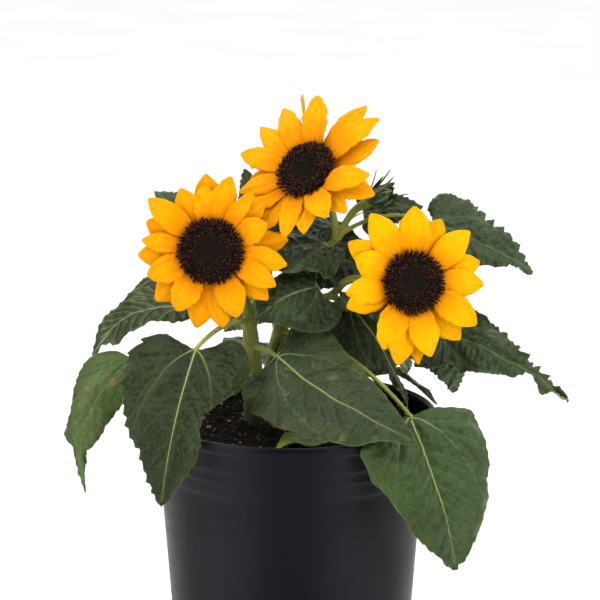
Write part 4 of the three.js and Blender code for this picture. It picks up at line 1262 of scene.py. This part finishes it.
def make_soil(materials):
    radius, top = radius_and_top("soil")
    count = 46      # rings of faces over its top

    def uneven(rings):
        flat = rings[..., :2]
        rise = 1.1 * ripples(flat, 30, 11) + 0.55 * ripples(flat, 9, 12) + 0.3 * ripples(flat, 3.6, 13)
        share = np.clip((rings[..., 2:] - top + 12) / 9, 0, 1) * np.clip((radius - 0.4 - np.linalg.norm(
            flat, axis=-1, keepdims=True)) / 3, 0, 1)
        rings[..., 2:] += share * rise[..., None]
        return rings

    profile = [(0, 4), (radius - 24, 4), (radius - 5.5, 130), (radius - 0.5, top - 2.6)]
    profile += [(radius * (1 - (k / count)) * 0.985, top - 2.2 + 2.0 * (k / count) ** 0.7)
                for k in range(1, count)]
    profile.append((0, top))
    soil = settle(new_object("soil_bed", *lathe(profile, 180, uneven), [materials["soil"]]), "soil", "soil")
    cap = [list(face.vertices) for face in soil.data.polygons
           if face.normal.z > 0.3 and face.center.z > (top - 6) * MM]
    top_faces = new_object("soil_top", read_points(soil.data) / MM, cap)
    for name, seed, density, small, large, finish in (
            ("soil_crumbs", 21, 260_000.0, 0.7, 2.6, "soil"), ("soil_lumps", 22, 22_000.0, 2.2, 4.6, "soil"),
            ("soil_perlite", 23, 20_000.0, 0.7, 2.5, "perlite")):
        lump = solid_shape(name + "_shape", *crumb(seed))
        settle(from_tree(name, top_faces, scatter_tree(), {
            "Density": density, "Seed": seed, "Smallest": small, "Largest": large, "Tumble": 1.6,
            "Shape": lump, "Finish": materials[finish]}), "soil")
        discard(lump)
    discard(top_faces)


# ---------- stage ----------
def look_back(thing, target, heading, distance):
    """Puts a light or the camera so far from its target, along a heading, and turns it towards the target."""
    back = Vector(heading)
    thing.location = target + back * distance
    thing.rotation_mode = "QUATERNION"
    thing.rotation_quaternion = back.to_track_quat("Z", "Y")
    return link(thing)


LIT_PLACE, LAMP_DISTANCE = Vector((0, 0, 0.2)), 1.6
CAMERA_TARGET = Vector((0.0048, 0, 0.232))
FLOOR_REACH = 40_000


def make_stage(colours, stage):
    corners = [(x * FLOOR_REACH, y * FLOOR_REACH, 0) for x, y in ((-1, -1), (1, -1), (1, 1), (-1, 1))]
    board = material_once("White painted board", draw_floor, colours)
    new_object("floor", corners, [[0, 1, 2, 3]], [board])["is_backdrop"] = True
    world = bpy.data.worlds.new("Studio")
    world.use_nodes = True
    world.node_tree.nodes.clear()
    n = Nodes(world.node_tree)
    behind = n.add("ShaderNodeVectorMath", {
        0: n.add("ShaderNodeTexCoord").outputs["Generated"], 1: (0, 0.6, 0.8)}, operation="DOT_PRODUCT")
    light = n.span(behind.outputs["Value"], 0.0, 1.0, stage.room_light, stage.ceiling_light)
    strength = n.mix(n.add("ShaderNodeLightPath").outputs["Is Camera Ray"], light, (1, 1, 1, 1))
    room = n.add("ShaderNodeBackground", {"Color": strength})
    n.add("ShaderNodeOutputWorld", {"Surface": room.outputs[0]})
    scene = bpy.context.scene
    scene.world = world
    for name, bearing, rise, width, height, power in (
            ("softbox_left", 218, 28, 0.9, 1.6, stage.left_power),
            ("softbox_right", 326, 28, 0.9, 1.6, stage.right_power),
            ("softbox_top", 275, 72, 1.2, 1.2, stage.top_power)):
        light = bpy.data.lights.new(name, "AREA")
        light.shape, light.size, light.size_y, light.energy = "RECTANGLE", width, height, power
        lamp = bpy.data.objects.new(name, light)
        look_back(lamp, LIT_PLACE, direction((bearing, rise)), LAMP_DISTANCE)
    heading = (0, -math.cos(stage.pitch), math.sin(stage.pitch))
    scene.camera = look_back(bpy.data.objects.new("camera", bpy.data.cameras.new("camera")),
                             CAMERA_TARGET, heading, stage.distance)
    scene.camera.data.sensor_width, scene.camera.data.lens = 36, stage.lens
    scene.view_settings.view_transform = "Standard"


# ---------- settings, operators and panel ----------
def number_setting(name, default, description, **kind):
    return bpy.props.FloatProperty(name=name, description=description, default=default, **kind)


def length_setting(name, default, description):
    return number_setting(name, default, description, unit="LENGTH")


def power_setting(name, default):
    return number_setting(name, default, "Its power", unit="POWER")


def colour_setting(name, default, description):
    return bpy.props.StringProperty(name=name, description=description, default=default)


class PlantSizes(bpy.types.PropertyGroup):
    """Sizes of the plant's fine detail."""
    leaf_thickness: length_setting("Leaf Thickness", 0.0004, "How thick a blade is between its veins")
    leaf_wave: length_setting("Leaf Wave", 0.0018, "How far the blades' margins wave up and down")
    tooth_depth: length_setting("Tooth Depth", 0.0019, "How deep the teeth of a leaf's margin are")
    cushion_height: length_setting("Cushion Height", 0.0011, "How far a blade stands up between its veins")
    stem_detail: length_setting("Stem Detail", 0.0006, "Size of the faces of the stems' skin")
    hair_length: length_setting("Hair Length", 0.0011, "Length of the stems' hairs")
    hair_density: number_setting("Hair Density", 300_000, "Hairs on a square metre of stem")
    floret_spacing: length_setting("Floret Spacing", 0.00082, "Sets how closely the disc florets pack")


class PlantColours(bpy.types.PropertyGroup):
    """Colours of the plant and pot, as sRGB hex."""
    leaf_under_hex: colour_setting("Leaf Underside", "#7f8f68", "Colour of the leaves' lower side")
    vein_hex: colour_setting("Side Veins", "#62743a", "Colour of the leaves' side veins")
    rib_hex: colour_setting("Main Ribs", "#a3ad6a", "Colour of the leaves' midribs")
    stem_hex: colour_setting("Stem", "#7e8326", "Colour of the stems and stalks")
    floret_hex: colour_setting("Disc Edge", "#2c100b", "Colour of the outermost disc florets")
    pot_hex: colour_setting("Pot", "#07050e", "Colour of the pot's plastic")
    soil_hex: colour_setting("Soil", "#0d0a08", "Colour of the moist soil")
    floor_hex: colour_setting("Floor", "#ffffff", "Colour of the floor")


class StageSettings(bpy.types.PropertyGroup):
    """The camera and the lights."""
    pitch: number_setting("Pitch", math.radians(12.8), "How far the camera looks down", subtype="ANGLE")
    distance: length_setting("Distance", 1.5, "From the camera to the middle of the plant")
    lens: number_setting("Lens", 159.3, "Focal length in millimetres")
    room_light: number_setting("Room Light", 0.12, "Strength of the light from the front")
    ceiling_light: number_setting("Ceiling Light", 1.72, "Strength of the light from above and behind")
    left_power: power_setting("Left Softbox", 14.0)
    right_power: power_setting("Right Softbox", 14.0)
    top_power: power_setting("Top Softbox", 4.0)


def green_skin(scene):
    return material_once("Living leaf blade", draw_leaf, scene.sunflower_colours)


class OBJECT_OT_sunflower_leaves(bpy.types.Operator):
    """Grows the leaf blades, each with its own outline, veins and green"""
    bl_idname = "object.sunflower_leaves"
    bl_label = "Leaves"

    def execute(self, context):
        scene = context.scene
        for i, (name, leaf) in enumerate(LEAVES.items()):
            make_leaf(name, leaf, green_skin(scene), scene.sunflower_sizes, LEAF_SEED + SEED_STEP * i)
        return {"FINISHED"}


class OBJECT_OT_sunflower_stems(bpy.types.Operator):
    """Grows the stems, boughs and leaf stalks as one ribbed skin with hairs"""
    bl_idname = "object.sunflower_stems"
    bl_label = "Stems"

    def execute(self, context):
        scene = context.scene
        skin = material_once("Living ribbed stem", draw_stem, scene.sunflower_colours)
        make_stems([skin, material_once("Plant hairs", draw_hair)], scene.sunflower_sizes)
        return {"FINISHED"}


class OBJECT_OT_sunflower_blooms(bpy.types.Operator):
    """Makes the three blooms: petals in two rows, packed disc florets and green bracts"""
    bl_idname = "object.sunflower_blooms"
    bl_label = "Blooms"

    def execute(self, context):
        scene = context.scene
        florets = material_once("Dark disc florets", draw_florets, scene.sunflower_colours)
        for i, (name, bloom) in enumerate(BLOOMS.items()):
            petal = material_once("Satin ray petal " + name, draw_petal, bloom.tip, bloom.base)
            materials = {"petal": petal, "floret": florets, "leaf": green_skin(scene)}
            make_bloom(name, bloom, materials, scene.sunflower_sizes, BLOOM_SEED + SEED_STEP * i)
        return {"FINISHED"}


class OBJECT_OT_sunflower_bud(bpy.types.Operator):
    """Makes the green bud in its pointed bracts"""
    bl_idname = "object.sunflower_bud"
    bl_label = "Bud"

    def execute(self, context):
        for i, (name, bud) in enumerate(BUDS.items()):
            make_bud(name, bud, green_skin(context.scene), BUD_SEED + SEED_STEP * i)
        return {"FINISHED"}


class OBJECT_OT_sunflower_pot(bpy.types.Operator):
    """Turns the nursery pot with its rim, rings and drain holes"""
    bl_idname = "object.sunflower_pot"
    bl_label = "Pot"

    def execute(self, context):
        make_pot(material_once("Satin black polypropylene", draw_pot, context.scene.sunflower_colours))
        return {"FINISHED"}


class OBJECT_OT_sunflower_soil(bpy.types.Operator):
    """Fills the pot with soil and strews crumbs and perlite over it"""
    bl_idname = "object.sunflower_soil"
    bl_label = "Soil"

    def execute(self, context):
        make_soil({
            "soil": material_once("Moist peat mix", draw_soil, context.scene.sunflower_colours),
            "perlite": material_once("Stained perlite", draw_perlite)})
        return {"FINISHED"}


class OBJECT_OT_sunflower_stage(bpy.types.Operator):
    """Sets the floor, the soft lights and the camera"""
    bl_idname = "object.sunflower_stage"
    bl_label = "Stage"

    def execute(self, context):
        make_stage(context.scene.sunflower_colours, context.scene.sunflower_stage)
        return {"FINISHED"}


OPERATORS = (
    OBJECT_OT_sunflower_stage, OBJECT_OT_sunflower_pot, OBJECT_OT_sunflower_soil, OBJECT_OT_sunflower_stems,
    OBJECT_OT_sunflower_leaves, OBJECT_OT_sunflower_blooms, OBJECT_OT_sunflower_bud,
)
GROUPS = {"sunflower_sizes": PlantSizes, "sunflower_colours": PlantColours, "sunflower_stage": StageSettings}


class VIEW3D_PT_sunflower(bpy.types.Panel):
    """The sunflower's pieces and settings"""
    bl_idname = "VIEW3D_PT_sunflower"
    bl_label = "Potted Sunflower"
    bl_space_type = "VIEW_3D"
    bl_region_type = "UI"
    bl_category = "Sunflower"

    def draw(self, context):
        for operator in OPERATORS:
            self.layout.operator(operator.bl_idname)
        for name in GROUPS:
            group = getattr(context.scene, name)
            for key in group.bl_rna.properties.keys():
                if key not in ("rna_type", "name"):
                    self.layout.prop(group, key)


CLASSES = (*GROUPS.values(), *OPERATORS, VIEW3D_PT_sunflower)


def register():
    for cls in CLASSES:
        bpy.utils.register_class(cls)
    for name, group in GROUPS.items():
        setattr(bpy.types.Scene, name, bpy.props.PointerProperty(type=group))


def unregister():
    for name in GROUPS:
        delattr(bpy.types.Scene, name)
    for cls in reversed(CLASSES):
        bpy.utils.unregister_class(cls)


def write_sizes():
    sizes = {"cad": [list(corner) for corner in CAD_BOX], "visual": [list(corner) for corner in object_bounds()]}


def main():
    register()
    bpy.ops.object.sunflower_stage()
    bpy.ops.object.sunflower_pot()
    bpy.ops.object.sunflower_soil()
    bpy.ops.object.sunflower_stems()
    bpy.ops.object.sunflower_leaves()
    bpy.ops.object.sunflower_blooms()
    bpy.ops.object.sunflower_bud()
    write_sizes()


if __name__ == "__main__":
    main()
